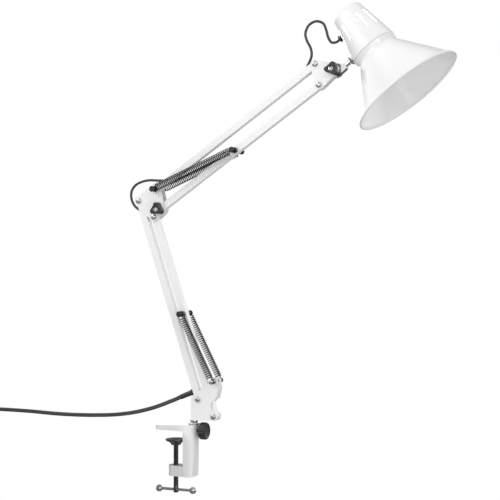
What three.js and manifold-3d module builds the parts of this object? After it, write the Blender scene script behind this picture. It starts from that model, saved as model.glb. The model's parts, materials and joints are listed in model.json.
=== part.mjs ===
// Swing arm desk lamp: a desk clamp, a swivelling base, two parallel-bar arms held up by pairs of
// extension springs, and a spun metal shade on a tilting rod. Millimetres, +Z up.
// The origin is on the clamp screw's axis, in the flat underside of the clamp jaw, which rests on the
// desk. The arms move in the XZ plane; y = 0 is the middle of every bar and bracket.
import * as THREE from "three";
import { mergeVertices } from "three/addons/utils/BufferGeometryUtils.js";
import Module from "manifold-3d";

const wasm = await Module();
wasm.setup();

// ---------------------------------------------------------------- driving dimensions

const GAP = 0.3; // between pieces that touch
const PLAY = 0.4; // radial clearance of a pin or screw in its hole

// Arms: lengths are from pivot to pivot, angles are from +X towards +Z.
const LOWER_ARM = 298;
const LOWER_ANGLE = 108.3;
const UPPER_ARM = 294;
const UPPER_ANGLE = 34.6;
const BAR = 10; // square tube, outside
const BAR_WALL = 1;

// Clamp
const CLAMP_WIDTH = 28;
const JAW_THICK = 8.6;
const JAW_TIP_THICK = 6;
const JAW_NOSE_X = -16.5; // centre of the round nose
const THROAT_X = 17; // the post's face towards the screw
const POST_THICK = 17;
const POST_FOOT_THICK = 13;
const POST_ROUND = 12.5;
const BOSS_RADIUS = 10.2;
const BOSS_TOP = -50.5;
const BOSS_HEIGHT = 15;
const SPINDLE_RADIUS = 3.6;
const SPINDLE_END = -90.5;
const PAD_RADIUS = 15;
const PAD_TOP = -13.5;
const PAD_RIM = 2.6;
const PAD_DEPTH = 8.5;
const TOMMY_RADIUS = 2;
const TOMMY_BALL_X = 26.5;
const TOMMY_BALL_RADIUS = 5;
const TOMMY_UP = 4.5; // from the spindle's end

// Swivel and lock knob
const SWIVEL_X = 28.5;
const SWIVEL_RADIUS = 4;
const SWIVEL_DEPTH = 31; // of the pin below the jaw's top
const RING_RADIUS = 8.5;
const RING_THICK = 2.2;
const COLLAR_RADIUS = 5.5;
const LOCK_RADIUS = 12.2;
const LOCK_LENGTH = 10.5;
const LOCK_STANDOFF = 5;
const LOCK_STUD_RADIUS = 2.5;
const LOCK_TEETH = 20;
const LOCK_TOOTH = 0.6; // depth of the ribs

// Folded brackets
const SHEET = 1.4;
const PLATE_PLAY = 0.5; // from a bar's side to the bracket plate
const BASE_FLOOR_Z = 16;
const BASE_FLOOR_LENGTH = 22;
const BASE_LEFT = 10.3; // from the rear pivot to the bracket's left edge
const BASE_REAR = at(37, 45.3);
const BASE_SPREAD = at(24.2, -23.6); // rear pivot to front pivot
const BASE_EAR = at(62.5, 71.5); // where the lower springs hook on
const BASE_NOSE_ARC = [-100, 35]; // the edge round the front pivot, in degrees
const BASE_WAIST = at(-12.8, 14.7); // from the front pivot to the hollow edge's control point
const BASE_NECK = at(3, -24); // from the ear to the end of the hollow edge
const BASE_EAR_ARC = [-12, 143];
const BASE_EAR_RIGHT = at(7, -8); // from the ear to the corners below it
const BASE_EAR_LEFT = at(-13, -7);
const BASE_SHOULDER = at(-2, 8); // from the rear pivot
const BASE_BACK = 4; // top of the straight back edge above the rear pivot
const ELBOW_MAIN = at(8.6, 10.9); // from the front lower pivot to the main upper pivot
const UPPER_SPREAD = at(-5.5, 28.9); // main upper pivot to the cable bar's pivot
const HEAD_TILT = at(20.9, 20.1); // from the main bar's end pivot to the tilt axis
const PIVOT_EDGE = 6.4; // bracket edge round a pivot
const SPRING_EDGE = 8;
const KNOB_EDGE = 9;
const EAR_EDGE = 5.5;

// Screws, pins and knobs
const SCREW_RADIUS = 2;
const SCREW_HEAD_RADIUS = 4.1;
const SCREW_HEAD_HEIGHT = 2.6;
const NUT_RADIUS = 4.2;
const NUT_HEIGHT = 3.4;
const PIN_RADIUS = 2.2;
const BUSH_RADIUS = 4.2;
const SPRING_Y = 15; // centre of each spring from the middle plane
const HOOK_HALF = 3; // half the groove that a spring's hook sits in
const PIN_CAP = 2.2;
const STUD_FLANGE = 3.4;
const STUD_CAP = 1.4;
const KNOB_LOBE = 4.1; // radius of each of the three lobes
const KNOB_REACH = 5.6; // from the axis to a lobe's centre
const KNOB_THICK = 10;
const KNOB_NECK = 1.3;
const ELBOW_KNOB_TURN = 90; // direction of a lobe
const HEAD_KNOB_TURN = 68;

// Springs
const LOWER_SPRING_RADIUS = 5;
const LOWER_SPRING_REACH = 152; // from the front pivot to the spring pin on the bar
const UPPER_SPRING_RADIUS = 6;
const UPPER_SPRING_REACH = 143; // from the main pivot to the spring pin on the bar

// Head: the rod is square to the shade's axis.
const SHADE_DOWN = 52; // the shade's axis below the horizontal
const ROD_BELOW = 6; // the rod's axis below the tilt axis, towards the rim
const ROD_RADIUS = 3;
const ROD_TO_AXIS = 60.6; // from the tilt axis to the shade's axis
const ROD_HEIGHT = 85; // above the rim
const ROD_TO_HOLDER = 2.5; // clear of the lamp holder's side
const KNUCKLE_RADIUS = 7;
const KNUCKLE_LENGTH = 12;
const DISC_RADIUS = 10.5;
const DISC_THICK = 1.2;
const FLANGE_RADIUS = 6;
const FLANGE_THICK = 2.6;
const NUT_STANDOFF = 1.6; // clear of the cap's sloping side

// Shade
const RIM_RADIUS = 80;
const RIM_LIP = 1.5;
const NECK_RADIUS = 32.2;
const NECK_HEIGHT = 67;
const CAP_BASE_RADIUS = 33.6;
const CAP_BASE_HEIGHT = 77;
const CAP_TOP_RADIUS = 22.6;
const CAP_HEIGHT = 142;
const CAP_EDGE = 4.5;
const SHADE_WALL = 1;
const COLLAR_DEPTH = 9; // the cone's collar inside the cap
const VENTS = 12;
const VENT_WIDTH = 2.4;
const VENT_FROM = 99;
const VENT_TO = 125;
const GLAND_HEIGHT = 119;
const GLAND_RADIUS = 4.6;
const GLAND_FLANGE = 2.6;
const GLAND_LENGTH = 6;
const GLAND_SHOULDER = 1.4; // its flange beyond the hole in the cap
const GLAND_STANDOFF = 1.8; // the sloping wall needs this much room on each side
const GLAND_SNAP = 0.6;

// Lamp holder for an E27 bulb
const HOLDER_RADIUS = 18;
const HOLDER_WALL = 2.2;
const HOLDER_RIM = 58; // its open end above the shade's rim
const HOLDER_HEIGHT = 48;
const HOLDER_BASE = 14; // thickness of its closed end
const HOLDER_SHOULDER = 8;
const HOLDER_TAPER = 5;
const THREAD_RADIUS = 14.2;
const THREAD_WALL = 0.8;
const THREAD_DEPTH = 26;
const CONTACT_RADIUS = 3;
const STRAP_WIDTH = 12;
const STRAP_THICK = 1.5;
const STRAP_IN = 6.6; // from the cap's outside at the rod to the strap

// Leads and the mains cord
const LEAD_RADIUS = 1.8;
const LEAD_SLOT = 20;
const LEAD_SLOT_WIDTH = 5.6;
const LEAD_SLOT_END = 4.6; // from the pivot to the slot
const CORD_RADIUS = 3;
const GROMMET_RADIUS = 4.6;
const GROMMET_UP = 12; // from the rear pivot along the bar
const GROMMET_LENGTH = 22;
const GROMMET_COLLAR = 4;
const GROMMET_MOUTH = 6; // depth that the cord enters it
const GROMMET_FALL = 206; // it leaves halfway between this heading and square to the bar
const GROMMET_SLOT = 7; // width of its hole in the bar
const COIL_CENTRE = new THREE.Vector2(-392, 44);
const COIL_INNER = 27; // radius of the innermost turn's centre line
const COIL_OUTER = 39;
const COIL_LAYERS = 2;
const SWITCH_LENGTH = 64;
const SWITCH_WIDTH = 28;
const SWITCH_HEIGHT = 19;
const SWITCH_CENTRE = new THREE.Vector2(-368, -22);
const ROCKER_LENGTH = 21;
const ROCKER_WIDTH = 15;
const ROCKER_PROUD = 2.4;
const ROCKER_AXIS_DOWN = 2; // from the housing's top
const ROCKER_POCKET = 7.5;
const ROCKER_TRAVEL = 3; // room under the rocker
const ROCKER_CLEAR = 0.7;
const ROCKER_CROWN = 34; // radius of its domed top
const SWITCH_EDGE = 1.5;
const SWITCH_CORNER = 4;
const PLUG_TIP = new THREE.Vector2(-334, -70); // the end of its strain relief
const PLUG_Z = 7.6;
const PLUG_FLANGE_THICK = 5;
const PLUG_FLANGE_WIDTH = 36;
const PLUG_FLANGE_HEIGHT = 14.6;
const PLUG_BODY_LENGTH = 31;
const PLUG_BODY_WIDTH = 31;
const PLUG_BODY_THICK = 12.4;
const PLUG_TAPER = 24; // length over which the body widens
const PLUG_NECK = 5.6; // half the body's width where the relief joins it
const PLUG_RELIEF_LENGTH = 21;
const PLUG_PIN_SOCKET = 6;
const PLUG_PIN_RADIUS = 2;
const PLUG_PIN_LENGTH = 19;
const PLUG_PIN_SPACING = 18.6;

// Sides of the round pieces
const SHADE_SIDES = 32;
const WIDE_SIDES = 20;
const ROUND_SIDES = 10;
const HOLE_SIDES = 8;
const CORD_SIDES = 8;

// ---------------------------------------------------------------- finishes

const WHITE_PAINT = { color: 0xf3f3f1, roughness: 0.28, metalness: 0 };
const CHROME = { color: 0xc9ccd0, roughness: 0.16, metalness: 1 };
const BLACK_PLASTIC = { color: 0x18181a, roughness: 0.5, metalness: 0 };
const BLACK_STEEL = { color: 0x1d1d20, roughness: 0.35, metalness: 0.8 };
const BLACK_CORD = { color: 0x1b1b1c, roughness: 0.62, metalness: 0 };
const BRASS = { color: 0xb8924a, roughness: 0.3, metalness: 1 };
const CERAMIC = { color: 0xe9e6de, roughness: 0.35, metalness: 0 };

// ---------------------------------------------------------------- working values

const PLATE_IN = BAR / 2 + PLATE_PLAY;
const PLATE_OUT = PLATE_IN + SHEET;
const LOWER_DIR = heading(LOWER_ANGLE);
const UPPER_DIR = heading(UPPER_ANGLE);
const BASE_FRONT = BASE_REAR.clone().add(BASE_SPREAD);
const ELBOW_REAR = along(BASE_REAR, LOWER_DIR, LOWER_ARM);
const ELBOW_FRONT = along(BASE_FRONT, LOWER_DIR, LOWER_ARM);
const UPPER_MAIN = ELBOW_FRONT.clone().add(ELBOW_MAIN);
const UPPER_CABLE = UPPER_MAIN.clone().add(UPPER_SPREAD);
const HEAD_MAIN = along(UPPER_MAIN, UPPER_DIR, UPPER_ARM);
const HEAD_CABLE = along(UPPER_CABLE, UPPER_DIR, UPPER_ARM);
const TILT_AXIS = HEAD_MAIN.clone().add(HEAD_TILT);
const SHADE_DIR = heading(-SHADE_DOWN); // from the cap to the rim
const ROD_DIR = heading(90 - SHADE_DOWN);
const RIM_CENTRE = along(along(TILT_AXIS, ROD_DIR, ROD_TO_AXIS), SHADE_DIR, ROD_HEIGHT + ROD_BELOW);
const LOWER_PIN = along(BASE_FRONT, LOWER_DIR, LOWER_SPRING_REACH);
const UPPER_PIN = along(UPPER_MAIN, UPPER_DIR, UPPER_SPRING_REACH);

// ---------------------------------------------------------------- geometry helpers

// A point in the lamp's middle plane.
function at(x, z, y = 0) {
  return new THREE.Vector3(x, y, z);
}

// A direction in the middle plane.
function heading(degrees) {
  const a = THREE.MathUtils.degToRad(degrees);
  return at(Math.cos(a), Math.sin(a));
}

function along(from, direction, distance) {
  return from.clone().addScaledVector(direction, distance);
}

// The turn about Y that lifts local +X to the given angle above world +X.
function lift(degrees) {
  return -THREE.MathUtils.degToRad(degrees);
}

function solidOf(geometry) {
  const bare = geometry.clone();
  bare.deleteAttribute("normal");
  bare.deleteAttribute("uv");
  const merged = mergeVertices(bare, 1e-4);
  return new wasm.Manifold(
    new wasm.Mesh({
      numProp: 3,
      vertProperties: merged.attributes.position.array,
      triVerts: new Uint32Array(merged.index.array),
    }),
  );
}

function geometryOf(solid) {
  const mesh = solid.getMesh();
  const geometry = new THREE.BufferGeometry();
  geometry.setAttribute("position", new THREE.BufferAttribute(mesh.vertProperties, 3));
  geometry.setIndex(new THREE.BufferAttribute(mesh.triVerts, 1));
  const flat = geometry.toNonIndexed();
  flat.computeVertexNormals();
  return flat;
}

function join(...geometries) {
  return geometryOf(geometries.map(solidOf).reduce((sum, next) => sum.add(next)));
}

function cut(geometry, ...tools) {
  return geometryOf(tools.map(solidOf).reduce((rest, tool) => rest.subtract(tool), solidOf(geometry)));
}

function keep(geometry, region) {
  return geometryOf(solidOf(geometry).intersect(solidOf(region)));
}

function box(x0, x1, y0, y1, z0, z1) {
  const geometry = new THREE.BoxGeometry(x1 - x0, y1 - y0, z1 - z0);
  return geometry.translate((x0 + x1) / 2, (y0 + y1) / 2, (z0 + z1) / 2);
}

// A solid of revolution: profile points are [radius, height] from the bottom up along `direction`.
function turned(profile, from, direction, sides = ROUND_SIDES) {
  const geometry = new THREE.LatheGeometry(
    profile.map(([r, h]) => new THREE.Vector2(r, h)),
    sides,
  );
  geometry.applyQuaternion(
    new THREE.Quaternion().setFromUnitVectors(new THREE.Vector3(0, 1, 0), direction.clone().normalize()),
  );
  return geometry.translate(from.x, from.y, from.z);
}

function rod(radius, from, to, sides = HOLE_SIDES) {
  const length = from.distanceTo(to);
  return turned([[0, 0], [radius, 0], [radius, length], [0, length]], from, to.clone().sub(from), sides);
}

// A round bar across the middle plane, between two y values.
function crossRod(radius, centre, y0, y1, sides = HOLE_SIDES) {
  return rod(radius, at(centre.x, centre.z, y0), at(centre.x, centre.z, y1), sides);
}

// Both contact points of the outside tangent of two circles [x, z, radius], for a loop that turns left.
function tangent([ax, az, ar], [bx, bz, br]) {
  const angle = Math.atan2(bz - az, bx - ax) - Math.acos((ar - br) / Math.hypot(bx - ax, bz - az));
  const [nx, nz] = [Math.cos(angle), Math.sin(angle)];
  return { angle, from: [ax + ar * nx, az + ar * nz], to: [bx + br * nx, bz + br * nz] };
}

// The outline of a belt drawn tight round circles that are listed anticlockwise.
function belt(circles) {
  const shape = new THREE.Shape();
  circles.forEach((circle, i) => {
    const before = circles[(i + circles.length - 1) % circles.length];
    const after = circles[(i + 1) % circles.length];
    const start = tangent(before, circle).angle;
    const end = tangent(circle, after).angle;
    shape.absarc(circle[0], circle[1], circle[2], start, end, false);
  });
  shape.closePath();
  return shape;
}

function round(point, radius) {
  return [point.x, point.z, radius];
}

// A flat piece: an outline in (x, z) given a thickness from y0 to y1.
function plate(shape, y0, y1, curveSegments = 3) {
  const geometry = new THREE.ExtrudeGeometry(shape, {
    depth: y1 - y0,
    bevelEnabled: false,
    curveSegments,
  });
  return geometry.rotateX(Math.PI / 2).translate(0, y1, 0);
}

// A flat piece: an outline in (x, y) given a height from z0 to z1.
function slab(shape, z0, z1, curveSegments = 4) {
  const geometry = new THREE.ExtrudeGeometry(shape, {
    depth: z1 - z0,
    bevelEnabled: false,
    curveSegments,
  });
  return geometry.translate(0, 0, z0);
}

function polygon(points) {
  return new THREE.Shape(points.map(([x, y]) => new THREE.Vector2(x, y)));
}

// A tube along a smooth route through the points.
function tube(points, radius, steps) {
  const corners = Array.from({ length: CORD_SIDES }, (_, i) => {
    const a = (2 * Math.PI * i) / CORD_SIDES;
    return [radius * Math.cos(a), radius * Math.sin(a)];
  });
  const route = new THREE.CatmullRomCurve3(points, false, "centripetal");
  return new THREE.ExtrudeGeometry(polygon(corners), { steps, bevelEnabled: false, extrudePath: route });
}

const lamp = new THREE.Group();
lamp.name = "swing_arm_lamp";

function group(parent, position = at(0, 0), turnY = 0) {
  const made = new THREE.Group();
  made.position.copy(position);
  made.rotation.y = turnY;
  parent.add(made);
  return made;
}

function piece(parent, name, finish, geometry, position = at(0, 0), turnY = 0) {
  const mesh = new THREE.Mesh(geometry, new THREE.MeshStandardMaterial(finish));
  mesh.name = name;
  mesh.position.copy(position);
  mesh.rotation.y = turnY;
  parent.add(mesh);
  return mesh;
}

// ---------------------------------------------------------------- pieces used more than once

// The web that joins a bracket's two plates: a strip under the tangent of two of its edge circles.
function web(circleA, circleB, share0, share1) {
  const { from, to } = tangent(circleA, circleB);
  const length = Math.hypot(to[0] - from[0], to[1] - from[1]);
  const [dx, dz] = [(to[0] - from[0]) / length, (to[1] - from[1]) / length];
  const inward = [-dz * SHEET, dx * SHEET];
  const p = [from[0] + dx * length * share0, from[1] + dz * length * share0];
  const q = [from[0] + dx * length * share1, from[1] + dz * length * share1];
  const strip = polygon([p, q, [q[0] + inward[0], q[1] + inward[1]], [p[0] + inward[0], p[1] + inward[1]]]);
  return plate(strip, -PLATE_OUT, PLATE_OUT);
}

// Two plates and what joins them, with a hole on each pivot.
function bracket(outline, joins, holes) {
  const plates = [plate(outline, PLATE_IN, PLATE_OUT), plate(outline, -PLATE_OUT, -PLATE_IN)];
  const tools = holes.map(([centre, radius]) =>
    crossRod(radius + PLAY, centre, -PLATE_OUT - 1, PLATE_OUT + 1),
  );
  return cut(join(...joins, ...plates), ...tools);
}

// A square tube with round ends, from its first pivot at the origin to its last along +X.
function bar(length, crossHoles, slots = []) {
  const half = BAR / 2;
  const bore = half - BAR_WALL;
  const outside = plate(belt([[0, 0, half], [length, 0, half]]), -half, half, 4);
  const holes = crossHoles.map(([x, radius]) => crossRod(radius + PLAY, at(x, 0), -half - 1, half + 1));
  const openings = slots.map(([x0, x1, width]) => box(x0, x1, -width / 2, width / 2, 0, half + 1));
  const inside = box(-half - 1, length + half + 1, -bore, bore, -bore, bore);
  return cut(outside, inside, ...holes, ...openings);
}

// A pan-head pivot screw with its lock nut, through a bracket and a bar.
function pivotScrew() {
  const face = PLATE_OUT + GAP;
  const r = SCREW_HEAD_RADIUS;
  const profile = [
    [0, -face - SCREW_HEAD_HEIGHT],
    [r * 0.55, -face - SCREW_HEAD_HEIGHT * 0.95],
    [r * 0.88, -face - SCREW_HEAD_HEIGHT * 0.62],
    [r, -face - SCREW_HEAD_HEIGHT * 0.2],
    [r, -face],
    [SCREW_RADIUS, -face],
    [SCREW_RADIUS, face + NUT_HEIGHT + 1.2],
    [0, face + NUT_HEIGHT + 1.2],
  ];
  const nut = turned(
    [[0, face], [NUT_RADIUS, face], [NUT_RADIUS, face + NUT_HEIGHT], [0, face + NUT_HEIGHT]],
    at(0, 0),
    new THREE.Vector3(0, 1, 0),
    6,
  );
  return join(turned(profile, at(0, 0), new THREE.Vector3(0, 1, 0)), nut);
}

// A pin that two springs hook on to: black shoulders, a groove for each hook, and end caps.
function springPin(shoulder) {
  const groove = SPRING_Y - HOOK_HALF;
  const cap = SPRING_Y + HOOK_HALF;
  const half = [
    [PIN_RADIUS, shoulder],
    [BUSH_RADIUS, shoulder],
    [BUSH_RADIUS, groove],
    [PIN_RADIUS, groove],
    [PIN_RADIUS, cap],
    [BUSH_RADIUS, cap],
    [BUSH_RADIUS, cap + PIN_CAP],
    [0, cap + PIN_CAP],
  ];
  const mirrored = half.map(([r, y]) => [r, -y]).reverse();
  return turned([...mirrored, ...half], at(0, 0), new THREE.Vector3(0, 1, 0), HOLE_SIDES);
}

// A hand knob with three lobes on a short neck, its face towards -Y.
function lobedKnob(face, firstLobe) {
  const lobes = [0, 120, 240].map((turn) => {
    const centre = along(at(0, 0), heading(firstLobe + turn), KNOB_REACH);
    return round(centre, KNOB_LOBE);
  });
  const neck = crossRod(KNOB_REACH, at(0, 0), face - KNOB_NECK - 1, face);
  const body = plate(belt(lobes), face - KNOB_NECK - KNOB_THICK, face - KNOB_NECK);
  const bore = crossRod(SCREW_RADIUS + PLAY + GAP, at(0, 0), face - KNOB_NECK - KNOB_THICK - 1, face + 1);
  return cut(join(body, neck), bore);
}

// The bolt under a lobed knob: its head is on the far side.
function tensionBolt(farWasher) {
  const head = PLATE_OUT + GAP + farWasher;
  const end = -(PLATE_OUT + GAP + KNOB_NECK + KNOB_THICK - 0.6);
  const shank = crossRod(SCREW_RADIUS, at(0, 0), end, head + 1);
  const hex = crossRod(NUT_RADIUS, at(0, 0), head, head + NUT_HEIGHT, 6);
  return join(shank, hex);
}

// A close-wound spring as its outer cylinder, between two pins.
function springBody(from, to, radius) {
  const direction = to.clone().sub(from).normalize();
  const clear = BUSH_RADIUS + GAP;
  return rod(radius, along(from, direction, clear), along(to, direction, -clear));
}

function springPair(parent, prefix, from, to, radius) {
  for (const [side, y] of [["near", -SPRING_Y], ["far", SPRING_Y]]) {
    const geometry = springBody(from, to, radius).translate(0, y, 0);
    piece(parent, `${prefix}_spring_${side}`, BLACK_STEEL, geometry);
  }
}

// ---------------------------------------------------------------- clamp

function clampFrame() {
  const half = CLAMP_WIDTH / 2;
  const postEnd = THROAT_X + POST_THICK;
  const footEnd = THROAT_X + POST_FOOT_THICK;
  const bossBottom = BOSS_TOP - BOSS_HEIGHT;
  const corner = half - POST_ROUND;
  const jawPlan = belt([
    [JAW_NOSE_X, 0, half],
    [postEnd - POST_ROUND, -corner, POST_ROUND],
    [postEnd - POST_ROUND, corner, POST_ROUND],
  ]);
  const side = polygon([
    [JAW_NOSE_X - half - 1, 0],
    [THROAT_X, 0],
    [THROAT_X, bossBottom],
    [footEnd, bossBottom],
    [postEnd, -JAW_THICK],
    [postEnd, JAW_THICK],
    [THROAT_X - 2, JAW_THICK],
    [JAW_NOSE_X - half - 1, JAW_TIP_THICK],
  ]);
  const profile = plate(side, -half, half);
  const jawAndPost = keep(profile, slab(jawPlan, bossBottom, JAW_THICK + 1));
  const bossPlan = belt([
    [0, 0, BOSS_RADIUS],
    [footEnd - POST_ROUND / 2, -half + POST_ROUND / 2, POST_ROUND / 2 - 1],
    [footEnd - POST_ROUND / 2, half - POST_ROUND / 2, POST_ROUND / 2 - 1],
  ]);
  const boss = slab(bossPlan, bossBottom, BOSS_TOP);
  const spindleHole = rod(SPINDLE_RADIUS + PLAY, at(0, bossBottom - 1), at(0, BOSS_TOP + 1), ROUND_SIDES);
  const swivelHole = rod(
    SWIVEL_RADIUS + PLAY,
    at(SWIVEL_X, JAW_THICK - SWIVEL_DEPTH - 1),
    at(SWIVEL_X, JAW_THICK + 1),
    ROUND_SIDES,
  );
  const lockHole = rod(LOCK_STUD_RADIUS + PLAY, at(SWIVEL_X, 0), at(postEnd + 1, 0));
  return cut(join(jawAndPost, boss), spindleHole, swivelHole, lockHole);
}

// The knob that locks the swivel: a ribbed head moulded on its threaded stud, local z along the stud.
function lockKnob() {
  const corners = Array.from({ length: LOCK_TEETH * 2 }, (_, i) => {
    const a = (Math.PI * i) / LOCK_TEETH;
    const r = LOCK_RADIUS - (i % 2) * LOCK_TOOTH;
    return [r * Math.cos(a), r * Math.sin(a)];
  });
  const wheel = slab(polygon(corners), 0, LOCK_LENGTH);
  const envelope = turned(
    [
      [0, 0],
      [LOCK_RADIUS - 1.4, 0],
      [LOCK_RADIUS + 0.1, 1.6],
      [LOCK_RADIUS + 0.1, LOCK_LENGTH - 2],
      [LOCK_RADIUS - 1.8, LOCK_LENGTH],
      [0, LOCK_LENGTH],
    ],
    at(0, 0),
    new THREE.Vector3(0, 0, 1),
    LOCK_TEETH,
  );
  const studLength = LOCK_STANDOFF + THROAT_X + POST_THICK - SWIVEL_X - SWIVEL_RADIUS - GAP;
  const stud = turned(
    [[0, -studLength], [LOCK_STUD_RADIUS, -studLength], [LOCK_STUD_RADIUS, 1], [0, 1]],
    at(0, 0),
    new THREE.Vector3(0, 0, 1),
    HOLE_SIDES,
  );
  return join(keep(wheel, envelope), stud);
}

function buildClamp() {
  const clamp = group(lamp);
  const postEnd = THROAT_X + POST_THICK;
  const up = new THREE.Vector3(0, 0, 1);
  piece(clamp, "clamp_frame", WHITE_PAINT, clampFrame());

  const padBottom = PAD_TOP - PAD_DEPTH;
  const bore = SPINDLE_RADIUS + PLAY;
  const socketTop = PAD_TOP - 3;
  const pad = turned(
    [
      [bore, padBottom],
      [bore + 3, padBottom],
      [bore + 3.6, padBottom + 2.4],
      [PAD_RADIUS - 1, PAD_TOP - PAD_RIM],
      [PAD_RADIUS, PAD_TOP - PAD_RIM + 0.8],
      [PAD_RADIUS, PAD_TOP - 0.5],
      [PAD_RADIUS - 0.5, PAD_TOP],
      [0, PAD_TOP],
      [0, socketTop],
      [bore, socketTop],
      [bore, padBottom],
    ],
    at(0, 0),
    up,
    WIDE_SIDES,
  );
  piece(clamp, "clamp_pad", CHROME, pad);

  const tommyZ = SPINDLE_END + TOMMY_UP;
  const tip = socketTop - GAP;
  const spindle = turned(
    [
      [0, SPINDLE_END],
      [SPINDLE_RADIUS - 0.8, SPINDLE_END],
      [SPINDLE_RADIUS, SPINDLE_END + 0.8],
      [SPINDLE_RADIUS, tip - 1.5],
      [SPINDLE_RADIUS - 1.2, tip],
      [0, tip],
    ],
    at(0, 0),
    up,
  );
  const tommyHole = rod(TOMMY_RADIUS + GAP, at(-SPINDLE_RADIUS - 1, tommyZ), at(SPINDLE_RADIUS + 1, tommyZ));
  piece(clamp, "clamp_spindle", CHROME, cut(spindle, tommyHole));

  const ball = (x) =>
    new THREE.SphereGeometry(TOMMY_BALL_RADIUS, 12, 8).rotateZ(Math.PI / 2).translate(x, 0, tommyZ);
  const tommyRod = rod(TOMMY_RADIUS, at(-TOMMY_BALL_X, tommyZ), at(TOMMY_BALL_X + 3, tommyZ));
  piece(clamp, "tommy_bar", CHROME, join(ball(-TOMMY_BALL_X), tommyRod));
  const socket = rod(TOMMY_RADIUS + GAP, at(0, tommyZ), at(TOMMY_BALL_X + 3 + GAP, tommyZ));
  piece(clamp, "tommy_ball", CHROME, cut(ball(TOMMY_BALL_X), socket));

  const lockX = postEnd + LOCK_STANDOFF;
  piece(clamp, "lock_knob", BLACK_PLASTIC, lockKnob(), at(lockX, 0), Math.PI / 2);
}

// ---------------------------------------------------------------- swivel base

// The side plate of the base, anticlockwise from its lower left corner.
function baseOutline(left) {
  const [waist, neck] = [BASE_FRONT.clone().add(BASE_WAIST), BASE_EAR.clone().add(BASE_NECK)];
  const outline = new THREE.Shape();
  const lineTo = (from, offset) => outline.lineTo(from.x + offset.x, from.z + offset.z);
  const arcRound = (centre, radius, [start, end]) => {
    const [a, b] = [THREE.MathUtils.degToRad(start), THREE.MathUtils.degToRad(end)];
    outline.absarc(centre.x, centre.z, radius, a, b, false);
  };
  outline.moveTo(left, BASE_FLOOR_Z);
  outline.lineTo(left + BASE_FLOOR_LENGTH, BASE_FLOOR_Z);
  arcRound(BASE_FRONT, PIVOT_EDGE, BASE_NOSE_ARC);
  outline.quadraticCurveTo(waist.x, waist.z, neck.x, neck.z);
  lineTo(BASE_EAR, BASE_EAR_RIGHT);
  arcRound(BASE_EAR, EAR_EDGE, BASE_EAR_ARC);
  lineTo(BASE_EAR, BASE_EAR_LEFT);
  lineTo(BASE_REAR, BASE_SHOULDER);
  outline.lineTo(left, BASE_REAR.z + BASE_BACK);
  outline.closePath();
  return outline;
}

function buildBase() {
  const swivel = group(lamp, at(SWIVEL_X, 0));
  const up = new THREE.Vector3(0, 0, 1);
  const ringBottom = JAW_THICK + GAP;
  const ringTop = ringBottom + RING_THICK;
  const ringHole = SWIVEL_RADIUS + PLAY;
  const ring = turned(
    [
      [ringHole, ringBottom],
      [RING_RADIUS - 0.5, ringBottom],
      [RING_RADIUS, ringBottom + 0.5],
      [RING_RADIUS, ringTop - 0.5],
      [RING_RADIUS - 0.5, ringTop],
      [ringHole, ringTop],
      [ringHole, ringBottom],
    ],
    at(0, 0),
    up,
    WIDE_SIDES,
  );
  piece(swivel, "swivel_washer", BLACK_PLASTIC, ring);

  const stub = SCREW_RADIUS + 1;
  const floorTop = BASE_FLOOR_Z + SHEET;
  const pin = turned(
    [
      [0, JAW_THICK - SWIVEL_DEPTH],
      [SWIVEL_RADIUS - 0.8, JAW_THICK - SWIVEL_DEPTH],
      [SWIVEL_RADIUS, JAW_THICK - SWIVEL_DEPTH + 0.8],
      [SWIVEL_RADIUS, ringTop + GAP],
      [COLLAR_RADIUS, ringTop + GAP],
      [COLLAR_RADIUS, BASE_FLOOR_Z - GAP],
      [stub, BASE_FLOOR_Z - GAP],
      [stub, floorTop + GAP],
      [COLLAR_RADIUS - 0.5, floorTop + GAP],
      [COLLAR_RADIUS - 1.5, floorTop + 2.2],
      [0, floorTop + 2.8],
    ],
    at(0, 0),
    up,
  );
  piece(swivel, "base_pivot_pin", CHROME, pin);

  const left = BASE_REAR.x - BASE_LEFT;
  const floor = box(left, left + BASE_FLOOR_LENGTH, -PLATE_OUT, PLATE_OUT, BASE_FLOOR_Z, floorTop);
  const folded = bracket(baseOutline(left), [floor], [
    [BASE_REAR, SCREW_RADIUS],
    [BASE_FRONT, SCREW_RADIUS],
    [BASE_EAR, PIN_RADIUS],
  ]);
  const pinHole = rod(stub + PLAY, at(SWIVEL_X, BASE_FLOOR_Z - 1), at(SWIVEL_X, floorTop + 1));
  piece(lamp, "base_bracket", WHITE_PAINT, cut(folded, pinHole));

  piece(lamp, "base_rear_screw", CHROME, pivotScrew(), BASE_REAR);
  piece(lamp, "base_front_screw", CHROME, pivotScrew(), BASE_FRONT);

  // Studs riveted in the two ears, each with a groove for a spring's hook.
  const [shoulder, grooveTo] = [PLATE_OUT + 2, SPRING_Y + HOOK_HALF];
  const stud = [
    [0, PLATE_IN + GAP],
    [PIN_RADIUS, PLATE_IN + GAP],
    [PIN_RADIUS, PLATE_OUT + GAP],
    [STUD_FLANGE, PLATE_OUT + GAP],
    [STUD_FLANGE, shoulder],
    [PIN_RADIUS, shoulder],
    [PIN_RADIUS, grooveTo],
    [STUD_FLANGE, grooveTo],
    [STUD_FLANGE, grooveTo + STUD_CAP],
    [0, grooveTo + STUD_CAP],
  ];
  for (const [side, y] of [["near", -1], ["far", 1]]) {
    const shape = turned(stud, at(0, 0), new THREE.Vector3(0, y, 0), HOLE_SIDES);
    piece(lamp, `ear_stud_${side}`, CHROME, shape, BASE_EAR);
  }
}

// ---------------------------------------------------------------- lower arm

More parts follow.
